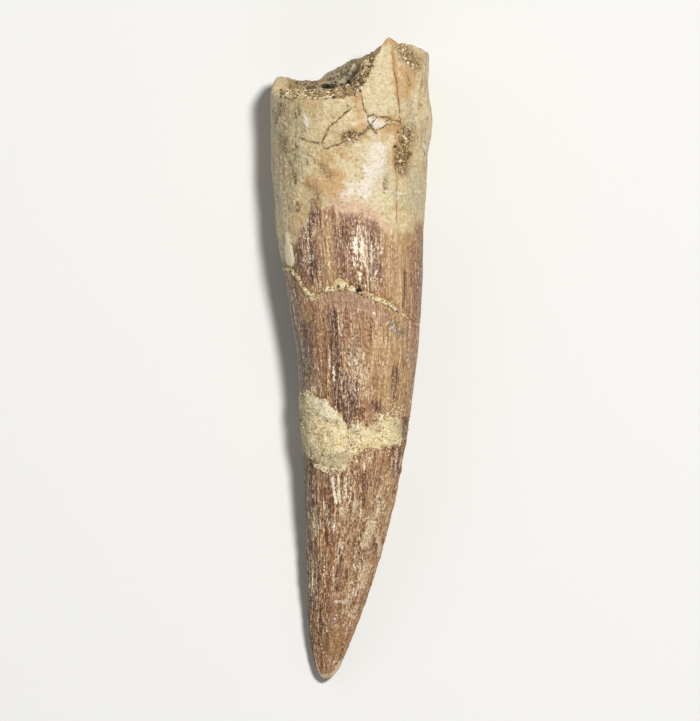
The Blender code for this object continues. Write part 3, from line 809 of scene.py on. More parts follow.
CHALK = [
    (0.30, 1.0, (-0.75, -30.5), (-1.2, -31.3), (-1.9, -31.8), (-2.9, -31.9)),
    (0.30, 0.8, (-3.5, -14.8), (-3.5, -16.6)),
    (0.30, 0.7, (-3.2, -16.8), (-3.4, -17.4)),
    (0.45, 0.8, (2.2, -16.2), (1.6, -18.6)),
    (0.30, 0.7, (2.8, -17.4), (3.1, -19.6)),
    (0.30, 0.6, (0.8, -14.0), (0.2, -16.0)),
    (0.60, 0.6, (1.6, -20.4), (1.2, -22.8)),
    (0.30, 0.7, (-0.9, -14.8), (-0.6, -15.6)),
]
dust = np.maximum(brush(DUST), 0.8 * far_side(plan, 0.4, 1.0, 1.8, 88, 3))
# The hidden side gets half of this painted highlight everywhere.
painted_glint = np.maximum(brush(PAINTED_GLINTS, 0.15), under * 0.5)
glint_lines_and_scratches = brush(GLINT_LINES_AND_SCRATCHES, 0.06)
chalk = brush(CHALK, 0.15)
print("Dust, glints, scratches and rubs:", len(DUST + PAINTED_GLINTS + GLINT_LINES_AND_SCRATCHES + CHALK))

# %% [markdown]
# A small helper turns rows of points into a closed mesh and stores the named values that the
# materials will read, one number for each point.


# %% A mesh helper
def wrapped_mesh(name, grid, values, closed=True, ends=()):
    """Makes a piece from rows of points wrapped round the tooth, with named values per point."""
    rows, columns = grid.shape[:2]
    index = np.arange(rows * columns).reshape(rows, columns)
    if not closed:
        index = np.vstack([index, index[:1]])
    after = np.roll(index, -1, axis=1)
    corners = [index[:-1], after[:-1], after[1:], index[1:]]
    faces = np.stack(corners, axis=-1).reshape(-1, 4).tolist()
    points = [grid.reshape(-1, 3)]
    for row, end in zip((index[0][::-1], index[-1]), ends):
        middle = rows * columns + len(points) - 1
        points.append(np.array(end).reshape(1, 3))
        faces += [(int(a), int(b), middle) for a, b in zip(row, np.roll(row, -1))]
    flat_values = {}
    for key, value in values.items():
        flat = value.reshape(rows * columns, -1)
        flat_values[key] = np.vstack([flat] + [flat[-1:]] * (len(points) - 1))
    return finished_mesh(name, np.vstack(points), faces, flat_values)


def finished_mesh(name, points, faces, values):
    """Makes an object from points in mm, faces and named values per point."""
    mesh = bpy.data.meshes.new(name)
    mesh.from_pydata(((points + SHIFT) * MM).tolist(), [], faces)
    for key, value in values.items():
        is_vector = value.ndim == 2 and value.shape[1] == 3
        store = mesh.attributes.new(key, "FLOAT_VECTOR" if is_vector else "FLOAT", "POINT")
        store.data.foreach_set("vector" if is_vector else "value", value.ravel())
    mesh.shade_smooth()
    piece = bpy.data.objects.new(name, mesh)
    bpy.context.scene.collection.objects.link(piece)
    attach(piece, "root")
    print(name + ":", sum(len(face) - 2 for face in faces), "triangles")
    return piece


print("Mesh helpers ready")

# %% [markdown]
# Now the tooth itself: the grid becomes a closed mesh, with a point at the tip and another at the
# bottom of the hollow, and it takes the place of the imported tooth. The material's streaks are drawn
# out ten times along the tooth, so the places for them are stored too. They are kept from getting
# closer where the tooth grows narrow.

# %% The mesh of the tooth
STREAK_DRAW = 0.10
FAR_OFF = 9.0
wide = np.clip(section(grid_y)[1], 2.2, 6.0)
across, deep = wide * np.cos(grid_turn), wide * np.sin(grid_turn)
grain_flow = np.stack([across, deep, STREAK_DRAW * grid_y], axis=-1)
tooth_values = {
    "root": root_share, "pale": pale, "white": white, "warm": warm, "pink": pink, "cool": cool,
    "grime_and_edge_shade": grime_and_edge_shade, "tan": tan, "dark": dark, "red": red, "lilac": lilac, "grey": grey,
    "dust": dust, "painted_glint": painted_glint, "glint_lines_and_scratches": glint_lines_and_scratches, "chalk": chalk, "rust": rust, "stain": stain,
    "pitted": pitted, "pit_cells": pit_cells, "flake": flake, "hole": hole, "stria": stria,
    "seam_open": seam_open, "inside": inside, "flow": grain_flow,
    "nub": soft_step(-5.9, -6.5, plan_x) * seen,
    "crack": np.clip(crack_signed, -FAR_OFF, FAR_OFF),
    "near_crack": np.where(inside > 0.0, FAR_OFF, crack_gap),
    "seam": np.where(inside > 0.0, FAR_OFF, from_seam),
    "tipward": soft_step(-6.0, -16.0, grid_y) * 0.8 + 0.2,
}
tip_x, _, tip_z, _ = section(TIP_Y)
bowl = grid[-1].mean(axis=0) - (0.0, 0.3, 0.0)
tooth = wrapped_mesh("tooth_body", grid, tooth_values, ends=((tip_x, TIP_Y, tip_z), bowl))
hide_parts("tooth")

# %% [markdown]
# Every material is built with one small function that adds a shader node: it takes the node's
# kind, its settings, and what goes into its sockets, a plain value or another node's output. The
# rest are steps that every material repeats: a mask is a product, a colour is laid over another,
# and fine relief is stacked. They work on the material that was started last. Sizes are in mm.


# %% Node helpers
def start_material(name):
    """A new node material: itself, its tree and its Principled shader."""
    material = bpy.data.materials.new(name)
    material.use_nodes = True
    return material, material.node_tree, material.node_tree.nodes["Principled BSDF"]


def plug(node, inputs):
    """Fills sockets. A socket's key is its name, or its number where names repeat."""
    for key, value in inputs.items():
        if isinstance(value, bpy.types.NodeSocket):
            tree.links.new(value, node.inputs[key])
        else:
            node.inputs[key].default_value = value


def add(kind, settings, inputs, output=0):
    """Adds one shader node and gives back one of its outputs."""
    made = tree.nodes.new("ShaderNode" + kind)
    for key, value in settings.items():
        setattr(made, key, value)
    plug(made, inputs)
    return made.outputs[output]


def places_in_mm():
    """The place on the object in mm."""
    spot = add("TexCoord", {}, {}, "Object")
    return add("VectorMath", {"operation": "SCALE"}, {0: spot, "Scale": 1.0 / MM})


def cover(*factors):
    """A mask: the product of its factors. (value, start, end) is a soft step from 0 to 1."""
    product = None
    for factor in factors:
        if isinstance(factor, tuple):
            factor = add("MapRange", {"interpolation_type": "SMOOTHSTEP"}, dict(enumerate(factor)))
        if product is not None:
            factor = add("Math", {"operation": "MULTIPLY"}, {0: product, 1: factor})
        product = factor
    return product


def summed(total, *parts):
    """A start value plus each part times its weight."""
    for part, weight in parts:
        total = add("Math", {"operation": "MULTIPLY_ADD"}, {0: part, 1: weight, 2: total})
    return total


def broken(mask, texture, reach, start, end):
    """A soft mask whose edge is broken up by a texture."""
    return cover((summed(mask, (texture, reach)), start + 0.5 * reach, end + 0.5 * reach))


def lines(where, size, width, detail=2.0, distortion=0.0):
    """Thin lines that wander where a noise crosses its middle value."""
    value = add("TexNoise", {}, {
        "Vector": where, "Scale": 1 / size, "Detail": detail, "Roughness": 0.5,
        "Distortion": distortion,
    })
    off_middle = add("Math", {"operation": "ABSOLUTE"}, {0: summed(-0.5, (value, 1.0))})
    return cover((off_middle, width, 0.25 * width))


def layered(base, layers):
    """Lays colours over a base. After each colour come the factors of the mask it goes through."""
    base = linear(base) if isinstance(base, str) else base
    for colour, *factors in layers:
        colour = linear(colour) if isinstance(colour, str) else colour
        base = add("Mix", {"data_type": "RGBA"}, {0: cover(*factors), 6: base, 7: colour}, 2)
    return base


def finish(colour, texture, contrast, roughness, ior, *relief):
    """Sets the shader. A texture makes the colour paler and deeper, as dust and shadow do.
    Relief finer than the mesh is bump, as (height, depth in mm), each over the one before."""
    gamma = summed(1.0 + 0.5 * contrast, (texture, -contrast))
    colour = add("Gamma", {}, {"Color": colour, "Gamma": gamma})
    below = {}
    for height, depth in relief:
        bump = {"Height": height, "Distance": depth * MM, "Strength": 1.0, **below}
        below = {"Normal": add("Bump", {}, bump)}
    plug(shader, {"Base Color": colour, "Roughness": roughness, "IOR": ior, **below})


print("Node helpers ready")

# %% [markdown]
# Fossil enamel and dentine are both apatite, with an index of refraction near 1.63. First come the
# textures that both use: soft mottling that lies on the place, and streaks that run with the
# enamel's ridges. The finest specks are drawn as coarse as the picture needs to show them.

# %% Material: fossil apatite, its textures
apatite, tree, shader = start_material("fossil_apatite")
mask = {
    key: add("Attribute", {"attribute_name": key}, {}, "Fac")
    for key in tooth_values if key != "flow"}
flow = add("Attribute", {"attribute_name": "flow"}, {}, "Vector")
place = places_in_mm()
fibres = add("VectorMath", {"operation": "MULTIPLY"}, {0: place, 1: (1.0, 0.38, 1.0)})
cloud, mottle, speckle, grain, streak, thread, hair, grit = (
    add("TexNoise", {}, {"Vector": where, "Scale": 1 / size, "Detail": detail, "Roughness": rough})
    for where, size, detail, rough in (
        (place, 2.6, 4.0, 0.6),
        (place, 0.7, 5.0, 0.65),
        (place, 0.30, 3.0, 0.6),
        (place, 0.20, 2.0, 0.6),
        (flow, 1.1, 4.0, 0.65),
        (flow, 0.36, 4.0, 0.7),
        (flow, 0.20, 3.0, 0.7),
        (fibres, 0.15, 3.0, 0.6),
    ))
crystal = add("TexVoronoi", {}, {"Vector": fibres, "Scale": 1 / 0.11}, "Color")
print("Nodes so far:", len(tree.nodes))

# %% [markdown]
# The dentine of the root is dull, cream and mottled: ground water left rusty brown along its
# cracks, lime bleached some plates, and tiny brown pores are scattered everywhere.

# %% Material: fossil apatite, the dentine
pore_gap = add("TexVoronoi", {}, {"Vector": place, "Scale": 1 / 0.34}, "Distance")
pore_number = pore_gap.node.outputs["Color"]
pore_gap = summed(pore_gap, (speckle, 1.2))
pore_chance = summed(pore_number, (mask["grime_and_edge_shade"], 0.25), (mask["warm"], 0.12))
dentine = layered("#bda679", [
    ("#cdb88c", (cloud, 0.42, 0.58)),
    ("#d8c8a0", (mottle, 0.52, 0.66), 0.8),
    ("#af9262", (mottle, 0.44, 0.34), 0.8),
    ("#bb935b", broken(mask["warm"], cloud, 1.8, 0.1, 1.0), 0.95),
    ("#96703f", mask["warm"], (speckle, 0.54, 0.66)),
    ("#c39d80", broken(mask["pink"], mottle, 1.5, 0.1, 1.0), 0.8),
    ("#cab991", broken(mask["pale"], mottle, 1.6, 0.1, 1.0), 0.9),
    ("#aea380", broken(mask["cool"], mottle, 1.5, 0.2, 1.0), 0.8),
    # The white patches also carry two small painted highlights.
    ("#d9cdbb", broken(mask["white"], mottle, 1.4, 0.2, 0.9)),
    # The next four layers follow the dirt and the painted shade near the edges.
    ("#ab9a72", broken(mask["grime_and_edge_shade"], thread, 1.6, 0.3, 1.0), 0.8),
    ("#7d6542", mask["grime_and_edge_shade"], (thread, 0.55, 0.64)),
    ("#8f7850", mask["grime_and_edge_shade"], (mottle, 0.42, 0.34)),
    ("#d6c8a4", mask["grime_and_edge_shade"], (speckle, 0.56, 0.66)),
    ("#ab8a58", (speckle, 0.63, 0.73)),
    ("#e6dabb", (speckle, 0.33, 0.26), 0.8),
    ("#a97c42", broken(mask["rust"], speckle, 1.8, 0.2, 1.0), 0.8),
    ("#6e5130", broken(mask["stain"], thread, 1.6, 0.2, 0.9), (grain, 0.36, 0.56)),
    ("#a07a45", (pore_gap, 0.86, 0.66), (pore_chance, 0.62, 0.80)),
])
print("Nodes so far:", len(tree.nodes))

# %% [markdown]
# The enamel kept its polish. Minerals turned it brown and purple in streaks that follow the striae.
# The crests of the striae are painted paler and their valleys darker: painted highlight and painted
# shade of the ridges. The smooth tan and lilac skin is calmer: fewer lines show on it, most of all
# near the tip.

# %% Material: fossil apatite, the enamel
long_flow = add("VectorMath", {"operation": "MULTIPLY"}, {0: flow, 1: (1.0, 1.0, 0.35)})
tipward = mask["tipward"]
# Painted sparkle: pale crystals are painted glints, and dark crystals between them darken the enamel.
painted_sparkle = summed(0.15, (mask["painted_glint"], 0.75))
smooth_skin = add("Math", {"operation": "MAXIMUM"}, {0: mask["tan"], 1: mask["lilac"]})
calm = summed(1.0, (cover(smooth_skin, tipward), -0.7))
pale_lines = cover(lines(long_flow, 0.60, 0.030), (grain, 0.40, 0.54), calm)
dark_lines = cover(lines(long_flow, 0.45, 0.022), (speckle, 0.40, 0.54), calm)
ridges = cover(lines(long_flow, 1.15, 0.036, 3.0), (speckle, 0.38, 0.52), calm)
squiggle = cover(lines(flow, 0.55, 0.045, 2.0, 0.9), tipward, (grain, 0.38, 0.52), calm)
# Crests: painted highlight on the ridges. Valleys: painted shade between them.
crests = cover((mask["stria"], 0.40, 0.90), (grain, 0.40, 0.58), summed(0.4, (tipward, 0.6)), calm)
valleys = cover((mask["stria"], 0.20, 0.04), (thread, 0.40, 0.54), calm)
enamel = layered("#82522c", [
    ("#a37546", (streak, 0.43, 0.57)),
    ("#b38a61", (thread, 0.50, 0.62), 0.45),
    ("#60391e", (thread, 0.45, 0.36), 0.45),
    ("#ab8452", broken(mask["tan"], streak, 1.6, 0.1, 0.9)),
    ("#c9a871", mask["tan"], (thread, 0.50, 0.62)),
    ("#98704a", mask["tan"], (thread, 0.40, 0.34)),
    ("#85462a", broken(mask["red"], streak, 1.6, 0.1, 1.0), 0.9),
    ("#522a14", broken(mask["dark"], thread, 1.8, 0.1, 0.8)),
    ("#a07b60", broken(mask["lilac"], mottle, 1.2, 0.1, 1.0), 0.8),
    ("#63563f", broken(mask["grey"], speckle, 1.6, 0.1, 0.8), 0.9),
    # Dirt and painted shade near the edges of the crown.
    ("#655340", broken(mask["grime_and_edge_shade"], speckle, 1.6, 0.3, 1.0), 0.8),
    ("#683c20", tipward, (mottle, 0.40, 0.60), 0.5),
    ("#583820", dark_lines, 0.7),
    # Painted shade in the valleys here, and painted highlight on the crests two layers below.
    ("#633a25", valleys, tipward, 0.6),
    ("#54341b", painted_sparkle, (crystal, 0.34, 0.24)),
    ("#c0936b", crests, 0.5),
    ("#d3b58a", pale_lines, 0.8),
    ("#cfac82", squiggle, 0.7),
    ("#d2b088", ridges, tipward, 0.5),
    # Pale crystals and pale hairs here are painted glints.
    ("#c6a988", painted_sparkle, (crystal, 0.68, 0.78)),
    ("#ecdcc2", mask["painted_glint"], (crystal, 0.76, 0.84)),
    ("#e4d1b2", mask["painted_glint"], (hair, 0.58, 0.68)),
])
print("Nodes so far:", len(tree.nodes))

# %% [markdown]
# Over root and crown alike lie the rusty pits, painted darker at their bottoms as shade, sand dust,
# chalky scratches, nearly white painted highlight lines, the dark lines of the cracks and the break,
# the hole painted near black as shade, and the broken face with the grey lining behind it.

# %% Material: fossil apatite, what lies over both
crack_off = add("Math", {"operation": "ABSOLUTE"}, {0: mask["crack"]})
crack = cover((summed(crack_off, (speckle, 5.0)), 4.8, 3.6), (mask["near_crack"], 0.32, 0.2),
              summed(0.4, (cover((mottle, 0.40, 0.55)), 0.6)))
seam_off = add("Math", {"operation": "ABSOLUTE"}, {0: mask["seam"]})
dusty = cover(broken(mask["dust"], thread, 1.4, 0.3, 1.0), (speckle, 0.42, 0.60))
broken_face = cover((mask["inside"], 0.3, 0.5))
lining = cover((mask["inside"], 0.8, 1.0))
surface = layered(enamel, [
    (dentine, broken(mask["root"], thread, 1.6, 0.15, 0.85)),
    ("#d6caa6", broken(mask["flake"], mottle, 0.7, 0.35, 0.6)),
    ("#7e5c32", mask["pitted"], (speckle, 0.36, 0.50)),
    ("#d3b884", mask["pitted"], (grain, 0.54, 0.64)),
    # Painted shade: the bottom of each pit cell is darker.
    ("#684d31", mask["pitted"], (mask["pit_cells"], 0.45, 0.25), 0.8),
    ("#bb9b70", dusty, 0.40),
    ("#dcc5a0", dusty, (grit, 0.60, 0.68)),
    ("#d2be9b", broken(mask["chalk"], speckle, 1.8, 0.2, 0.9), 0.85),
    # Painted highlights: nearly white glint lines, and a few scratches.
    ("#f6ead0", broken(mask["glint_lines_and_scratches"], grain, 2.2, 0.2, 0.9), 0.9),
    ("#6a4f2a", crack),
    ("#46331f", (seam_off, 0.20, 0.08), mask["seam_open"]),
    # Painted shade: the hole is near black inside.
    ("#120c07", (mask["hole"], 0.3, 0.6)),
    ("#ac8a55", broken_face, 0.9),
    ("#63492d", broken_face, (speckle, 0.48, 0.60)),
    ("#b58a50", broken_face, (mottle, 0.56, 0.66)),
    ("#c3ab7c", broken_face, mask["nub"]),
    ("#4a3e2e", lining),
    ("#2a2219", lining, (mottle, 0.44, 0.60)),
])
print("Nodes so far:", len(tree.nodes))

# %% [markdown]
# Polish differs too: enamel is fairly smooth, dentine duller, dust quite matt. Streaks and pores
# finer than the mesh are drawn as bump.

# %% Polish and fine relief of the apatite
ENAMEL_ROUGHNESS = 0.26
DENTINE_ROUGHNESS = 0.52
DUST_ROUGHER = 0.35
GLINT_SMOOTHER = -0.10
APATITE_IOR = 1.6
GRAIN_CONTRAST = 3.1

dentine_rougher = DENTINE_ROUGHNESS - ENAMEL_ROUGHNESS
roughness = summed(ENAMEL_ROUGHNESS, (mask["root"], dentine_rougher),
                   (mask["dust"], DUST_ROUGHER), (mask["painted_glint"], GLINT_SMOOTHER))
gritty_share = cover(summed(0.95, (smooth_skin, -0.40), (tipward, -0.22)),
                     summed(1.0, (mask["root"], -0.4)))
coarse = add("Mix", {}, {0: mask["root"], 2: thread, 3: mottle})
fine = add("Mix", {}, {0: mask["root"], 2: grit, 3: speckle})
shade = summed(0.5, (summed(-0.5, (fine, 1.0)), gritty_share))
finish(surface, shade, GRAIN_CONTRAST, roughness, APATITE_IOR,
       (coarse, 0.18), (fine, 0.11), (grain, 0.06), (crack, -0.05))
tooth.data.materials.append(apatite)
print("Nodes in", apatite.name + ":", len(tree.nodes))

# %% [markdown]
# The collar is quartz sand cemented by lime, left where the rock was cleaned away, and a bead of the
# same sand fills the break. Both are placed as seen from above: the collar between two lines, and
# the bead by its half width at each x. Some of the sand is ashy, golden or bleached.

# %% Where the sand lies
COLLAR_TOP = (
    [(-4.75, -3.4), (-4.2, -3.0), (-3.4, -3.3), (-2.3, -4.0), (-1.55, -4.9), (-0.9, -5.6),
     (-0.55, -6.1), (-0.2, -6.9), (0.35, -6.6), (1.35, -6.1), (2.4, -6.1), (3.95, -5.6),
     (4.95, -5.7), (5.35, -8.5), (5.8, -8.5)],
    [(-4.6, -4.2), (-2.5, -5.6), (0.0, -4.6), (2.5, -6.0), (5.0, -6.6)],
)
COLLAR_FOOT = (
    [(-4.7, -9.1), (-4.0, -9.3), (-3.5, -9.9), (-3.05, -10.6), (-2.5, -11.15), (-1.45, -11.2),
     (-0.4, -10.9), (0.1, -10.2), (0.5, -9.6), (1.8, -9.1), (3.95, -8.6), (4.95, -8.8),
     (5.35, -7.9), (5.8, -7.9)],
    [(-4.3, -8.9), (-2.0, -10.1), (0.5, -9.2), (2.5, -9.9), (4.8, -9.1)],
)
BEAD_HALF_WIDTH = [
    (-5.8, 0.06), (-4.9, 0.12), (-4.4, 0.16), (-3.9, 0.26), (-3.3, 0.12), (-2.8, 0.04),
    (-2.4, 0.10), (-1.8, 0.20), (-1.0, 0.36), (-0.1, 0.24), (0.5, 0.18), (0.7, -0.4),
    (1.15, -0.4), (1.35, 0.18), (2.2, 0.20), (2.9, 0.10), (3.8, 0.14), (4.5, 0.08), (4.8, -0.1),
    (5.4, 0.04), (6.2, 0.0),
]
# Where the sand has another tone: how far it reaches, where it is full, and along which lines.
SAND_TINTS = {
    "ashy": (
        1.1, 0.2,
        ((-4.9, -4.0), (-4.6, -9.0)),
        ((-2.7, -10.0), (-0.4, -9.9)),
        ((4.6, -6.6), (5.2, -7.0)),
        ((1.8, -6.2), (2.6, -6.6)),
    ),
    "golden": (
        1.7, 0.3,
        ((-2.8, -6.6), (-1.0, -8.2), (1.0, -8.4), (3.8, -7.2)),
        ((-5.8, 9.0), (-3.9, 6.3), (-1.0, 7.6), (1.5, 6.5), (5.2, 4.6)),
    ),
    "bleached": (1.0, 0.2, ((-3.4, -3.6), (-2.6, -4.6), (-1.9, -5.6))),
}
print("Tints of sand:", ", ".join(SAND_TINTS))

# %% [markdown]
# One function makes both, as a band wrapped round the tooth. It is thin: at its ragged edges the
# sand dives under the enamel, so the edge looks broken and not cut. Cell noise draws each grain as
# a dome. The inner side is hidden, so it gets few rows.

# %% A band of sand
GRAIN_MM = 0.17
GRAIN_RELIEF = 0.06
CELL_REACH = 0.85
SAND_MARGIN = 0.6
SAND_DEPTH = 0.5


def near_lines(at, reach, full, *routes):
    """A soft patch along lines as seen from above: 0 at reach mm from them, 1 at full mm."""
    _, gap = line_gaps(at[..., 0], at[..., 1], [(1.0, *points) for points in routes])
    return soft_step(reach, full, gap)


def sand_band(name, foot, top, columns_per_turn, rows, height, raggedness, sunk, seed):
    """A band of sand round the tooth between two lines, with domed grains and ragged edges."""
    band_turns = np.linspace(0.0, 2.0 * np.pi, columns_per_turn, endpoint=False)
    low, high = foot(band_turns), top(band_turns)
    row_low, row_high = np.minimum(low, high - 0.1), np.maximum(high, low + 0.1)
    share = np.linspace(0.0, 1.0, rows)[:, None]
    y = (row_low - SAND_MARGIN) + (row_high - row_low + 2.0 * SAND_MARGIN) * share
    turn = np.broadcast_to(band_turns, y.shape)
    at = skin(turn, y, 0.0)
    from_edge = np.minimum(y - low, high - y) + raggedness * soft_noise(at, 0.9, seed, 4)
    sanded = soft_step(-0.22, 0.08, from_edge)
    body = soft_step(-0.1, 1.3, from_edge) * (0.4 + 0.6 * np.abs(np.sin(turn)))
    gap, number = cell_noise(at + 0.06 * soft_noise(at, 0.3, seed + 1)[..., None], GRAIN_MM, seed)
    dome = np.sqrt(np.clip(1.0 - (gap / CELL_REACH) ** 2, 0.0, 1.0))
    lift = -sunk + (sunk + 0.01) * sanded + height * body
    lift = lift + (0.05 + 0.75 * height * body) * soft_noise(at, 0.8, seed + 2, 3) * sanded
    lift = lift + GRAIN_RELIEF * (dome - 0.5) * (0.6 + number) * sanded
    outer = skin(turn, y, lift)
    inner = skin(turn[::-12], y[::-12], -SAND_DEPTH)
    values = {"dome": dome, "number": number, "body": body}
    for key, tint in SAND_TINTS.items():
        values[key] = near_lines(at, *tint) * (np.sin(turn) > 0.0)
    blank = 0.0 * y[::-12]
    values = {key: np.vstack([value, blank]) for key, value in values.items()}
    piece = wrapped_mesh(name, np.vstack([outer, inner]), values, closed=False)
    return piece


print("Sand grains are", GRAIN_MM, "mm apart")

# %% Sand collar and sand bead
collar = sand_band(
    "matrix_collar",
    lambda turn: around(COLLAR_FOOT, turn),
    lambda turn: around(COLLAR_TOP, turn),
    columns_per_turn=620, rows=118, height=0.18, raggedness=0.6, sunk=0.26, seed=101,
)
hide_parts("sand_collar")

BEAD_FULLER = 1.35
BEAD_HALF_WIDTH_BELOW = 0.10


def bead_half_width(turn):
    """Half width of the bead: read from its table above, even below."""
    centre_x, half_width, _, _ = section(around(BREAK, turn))
    x = centre_x + half_width * np.cos(turn)
    read_off = np.interp(x, *np.array(BEAD_HALF_WIDTH).T)
    return np.where(np.sin(turn) > 0.0, BEAD_FULLER * read_off, BEAD_HALF_WIDTH_BELOW)


bead = sand_band(
    "break_sand",
    lambda turn: around(BREAK, turn) - bead_half_width(turn),
    lambda turn: around(BREAK, turn) + bead_half_width(turn),
    columns_per_turn=620, rows=26, height=0.15, raggedness=0.20, sunk=0.50, seed=131,
)

# %% [markdown]
# The open root is lined with dark sediment full of small crystals. On the far wall it covers even
# the broken edge and is piled up thick, with one deep hole, a smooth plate and a pale ridge.
# Crystals have flat faces, so here the cell noise gives each cell one height and no dome.

# %% The face of the crust in the pulp cavity
CRUST_COLUMNS = 400
CRUST_ROWS = 100
CRUST_FLOOR_Y = 20.4
PILE_MM = 2.3
PALE_RIDGE_MM = 0.5
THICKEST_MM = 1.4

crust_turns = np.linspace(0.0, 2.0 * np.pi, CRUST_COLUMNS, endpoint=False)
far = soft_step(-0.12, 0.25, -np.sin(crust_turns)) * soft_step(-0.90, -0.76, np.cos(crust_turns))
far = far * soft_step(0.14, 0.02, np.cos(crust_turns))
near_start = np.interp(crust_turns, turns, hollow_edge, period=2.0 * np.pi) - 0.7
far_start = np.interp(crust_turns, turns, rim, period=2.0 * np.pi) - 0.03
start_y = near_start + (far_start - near_start) * far
start_lift = -WALL + 0.15 + (WALL - 0.40) * far
share = np.linspace(0.0, 1.0, CRUST_ROWS)[:, None] ** 1.5
crust_y = start_y + (CRUST_FLOOR_Y - start_y) * share
crust_turn = np.broadcast_to(crust_turns, crust_y.shape)
crust_at = skin(crust_turn, crust_y, -WALL)
recess = near_lines(crust_at, 0.9, 0.4, ((-2.9, 27.2), (-2.3, 26.9)))
smooth = near_lines(crust_at, 0.7, 0.3, ((-3.8, 27.9), (-3.3, 28.1)))
ridge = near_lines(crust_at, 0.95, 0.40, ((0.9, 29.2), (0.3, 28.4), (-0.4, 27.8), (-1.2, 27.4)))
gap, number = cell_noise(crust_at + 0.2 * soft_noise(crust_at, 0.5, 141)[..., None], 0.60, 142)
_, small_number = cell_noise(crust_at, 0.24, 143)
rolling = soft_noise(crust_at, 1.5, 144, 3)
knobs = np.clip(1.0 - gap ** 2, 0.0, 1.0)
thickness = 0.10 + 0.30 * number + (0.34 * small_number + 0.30 * rolling) * (1.0 - smooth)
thickness = thickness + 0.55 * knobs * (0.5 + number)
pile = far * (soft_step(0.01, 0.28, share) - soft_step(0.45, 0.70, share))
pile = PILE_MM * pile * (1.0 + 0.35 * rolling) * (1.0 - recess)
inward = -WALL - np.clip(thickness, 0.0, THICKEST_MM) - pile - PALE_RIDGE_MM * ridge * far
crust_lift = start_lift + (inward - start_lift) * soft_step(0.0, 0.07, share)
crust_lift = crust_lift - 0.16 * small_number * soft_step(0.10, 0.0, share)
crust_face = skin(crust_turn, crust_y, crust_lift)
# The crust's edge is kept out of the painted crevice shade.
knobs = np.maximum(knobs, soft_step(0.12, 0.05, share))
print("Crust up to", round(-crust_lift.min() - WALL, 1), "mm thick")

# %% [markdown]
# The crust is closed at the back by a few rows that lie in the wall of the tooth, where nobody sees
# them, and by a floor deep inside. Its mesh is shaded flat, so that single crystals show.

# %% The mesh of the crust
crust_back = skin(crust_turn[::-8], crust_y[::-8] - 0.1 * far, -WALL + 0.35)
crust_floor = skin(crust_turns, np.full(CRUST_COLUMNS, CRUST_FLOOR_Y - 0.1), -BOWL_INSET)
crust_bottom = skin(crust_turns, np.full(CRUST_COLUMNS, 19.6), -BOWL_INSET)
crust_grid = np.vstack([crust_bottom[None], crust_back, crust_face, crust_floor[None]])
crust_values = {}
for key, value, behind in (
        ("number", number, 0.6), ("small", small_number, 0.6), ("knobs", knobs, 0.6),
        ("recess", recess, 0.0), ("smooth", smooth, 0.0), ("ridge", ridge, 0.0)):
    hidden = np.full((len(crust_back) + 1, CRUST_COLUMNS), behind)
    last = np.full((1, CRUST_COLUMNS), 0.5)
    crust_values[key] = np.vstack([hidden, value, last])
crust_ends = (crust_grid[0].mean(axis=0), crust_grid[-1].mean(axis=0))
crust = wrapped_mesh("pulp_crust", crust_grid, crust_values, ends=crust_ends)
crust.data.shade_flat()
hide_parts("cavity_crust")

# %% [markdown]
# Single grains still sit in the pits, along the broken rim and on the collar. Their places are
# random but seeded: on the broken face, along a line on the skin, or on the crust.

# %% Where the loose grains lie
random = np.random.default_rng(7)


def on_break(count, x_from, x_to):
    """Random places on the upper broken face between two x."""
    turn = random.uniform(0.05, np.pi - 0.05, count * 8)
    share = random.uniform(0.0, 1.0, count * 8)
    low, high = np.interp(turn, turns, rim), np.interp(turn, turns, hollow_edge)
    at = skin(turn, low + (high - low) * share, -WALL * share)
    fits = (at[:, 0] > x_from) & (at[:, 0] < x_to)
    return at[fits][:count]


def on_skin(count, half_width, *points, depth=0.05):
    """Random places on the upper skin along a line of points."""
    line = np.array(points)
    share = np.sort(random.uniform(0.0, len(line) - 1.0, count))
    steps = np.arange(len(line))
    x = np.interp(share, steps, line[:, 0]) + half_width * random.normal(0.0, 0.55, count)
    y = np.interp(share, steps, line[:, 1]) + half_width * random.normal(0.0, 0.55, count)
    centre_x, wide, _, _ = section(y)
    turn = np.arccos(np.clip((x - centre_x) / wide, -0.999, 0.999))
    return skin(turn, np.minimum(y, top_y - 0.2), -depth)


def on_crust(count, x_from, x_to, y_from):
    """Random places on the crust as seen from above."""
    at = crust_face.reshape(-1, 3)
    fits = (at[:, 0] > x_from) & (at[:, 0] < x_to) & (at[:, 1] > y_from)
    return random.choice(at[fits & (at[:, 2] < 7.0)], count)


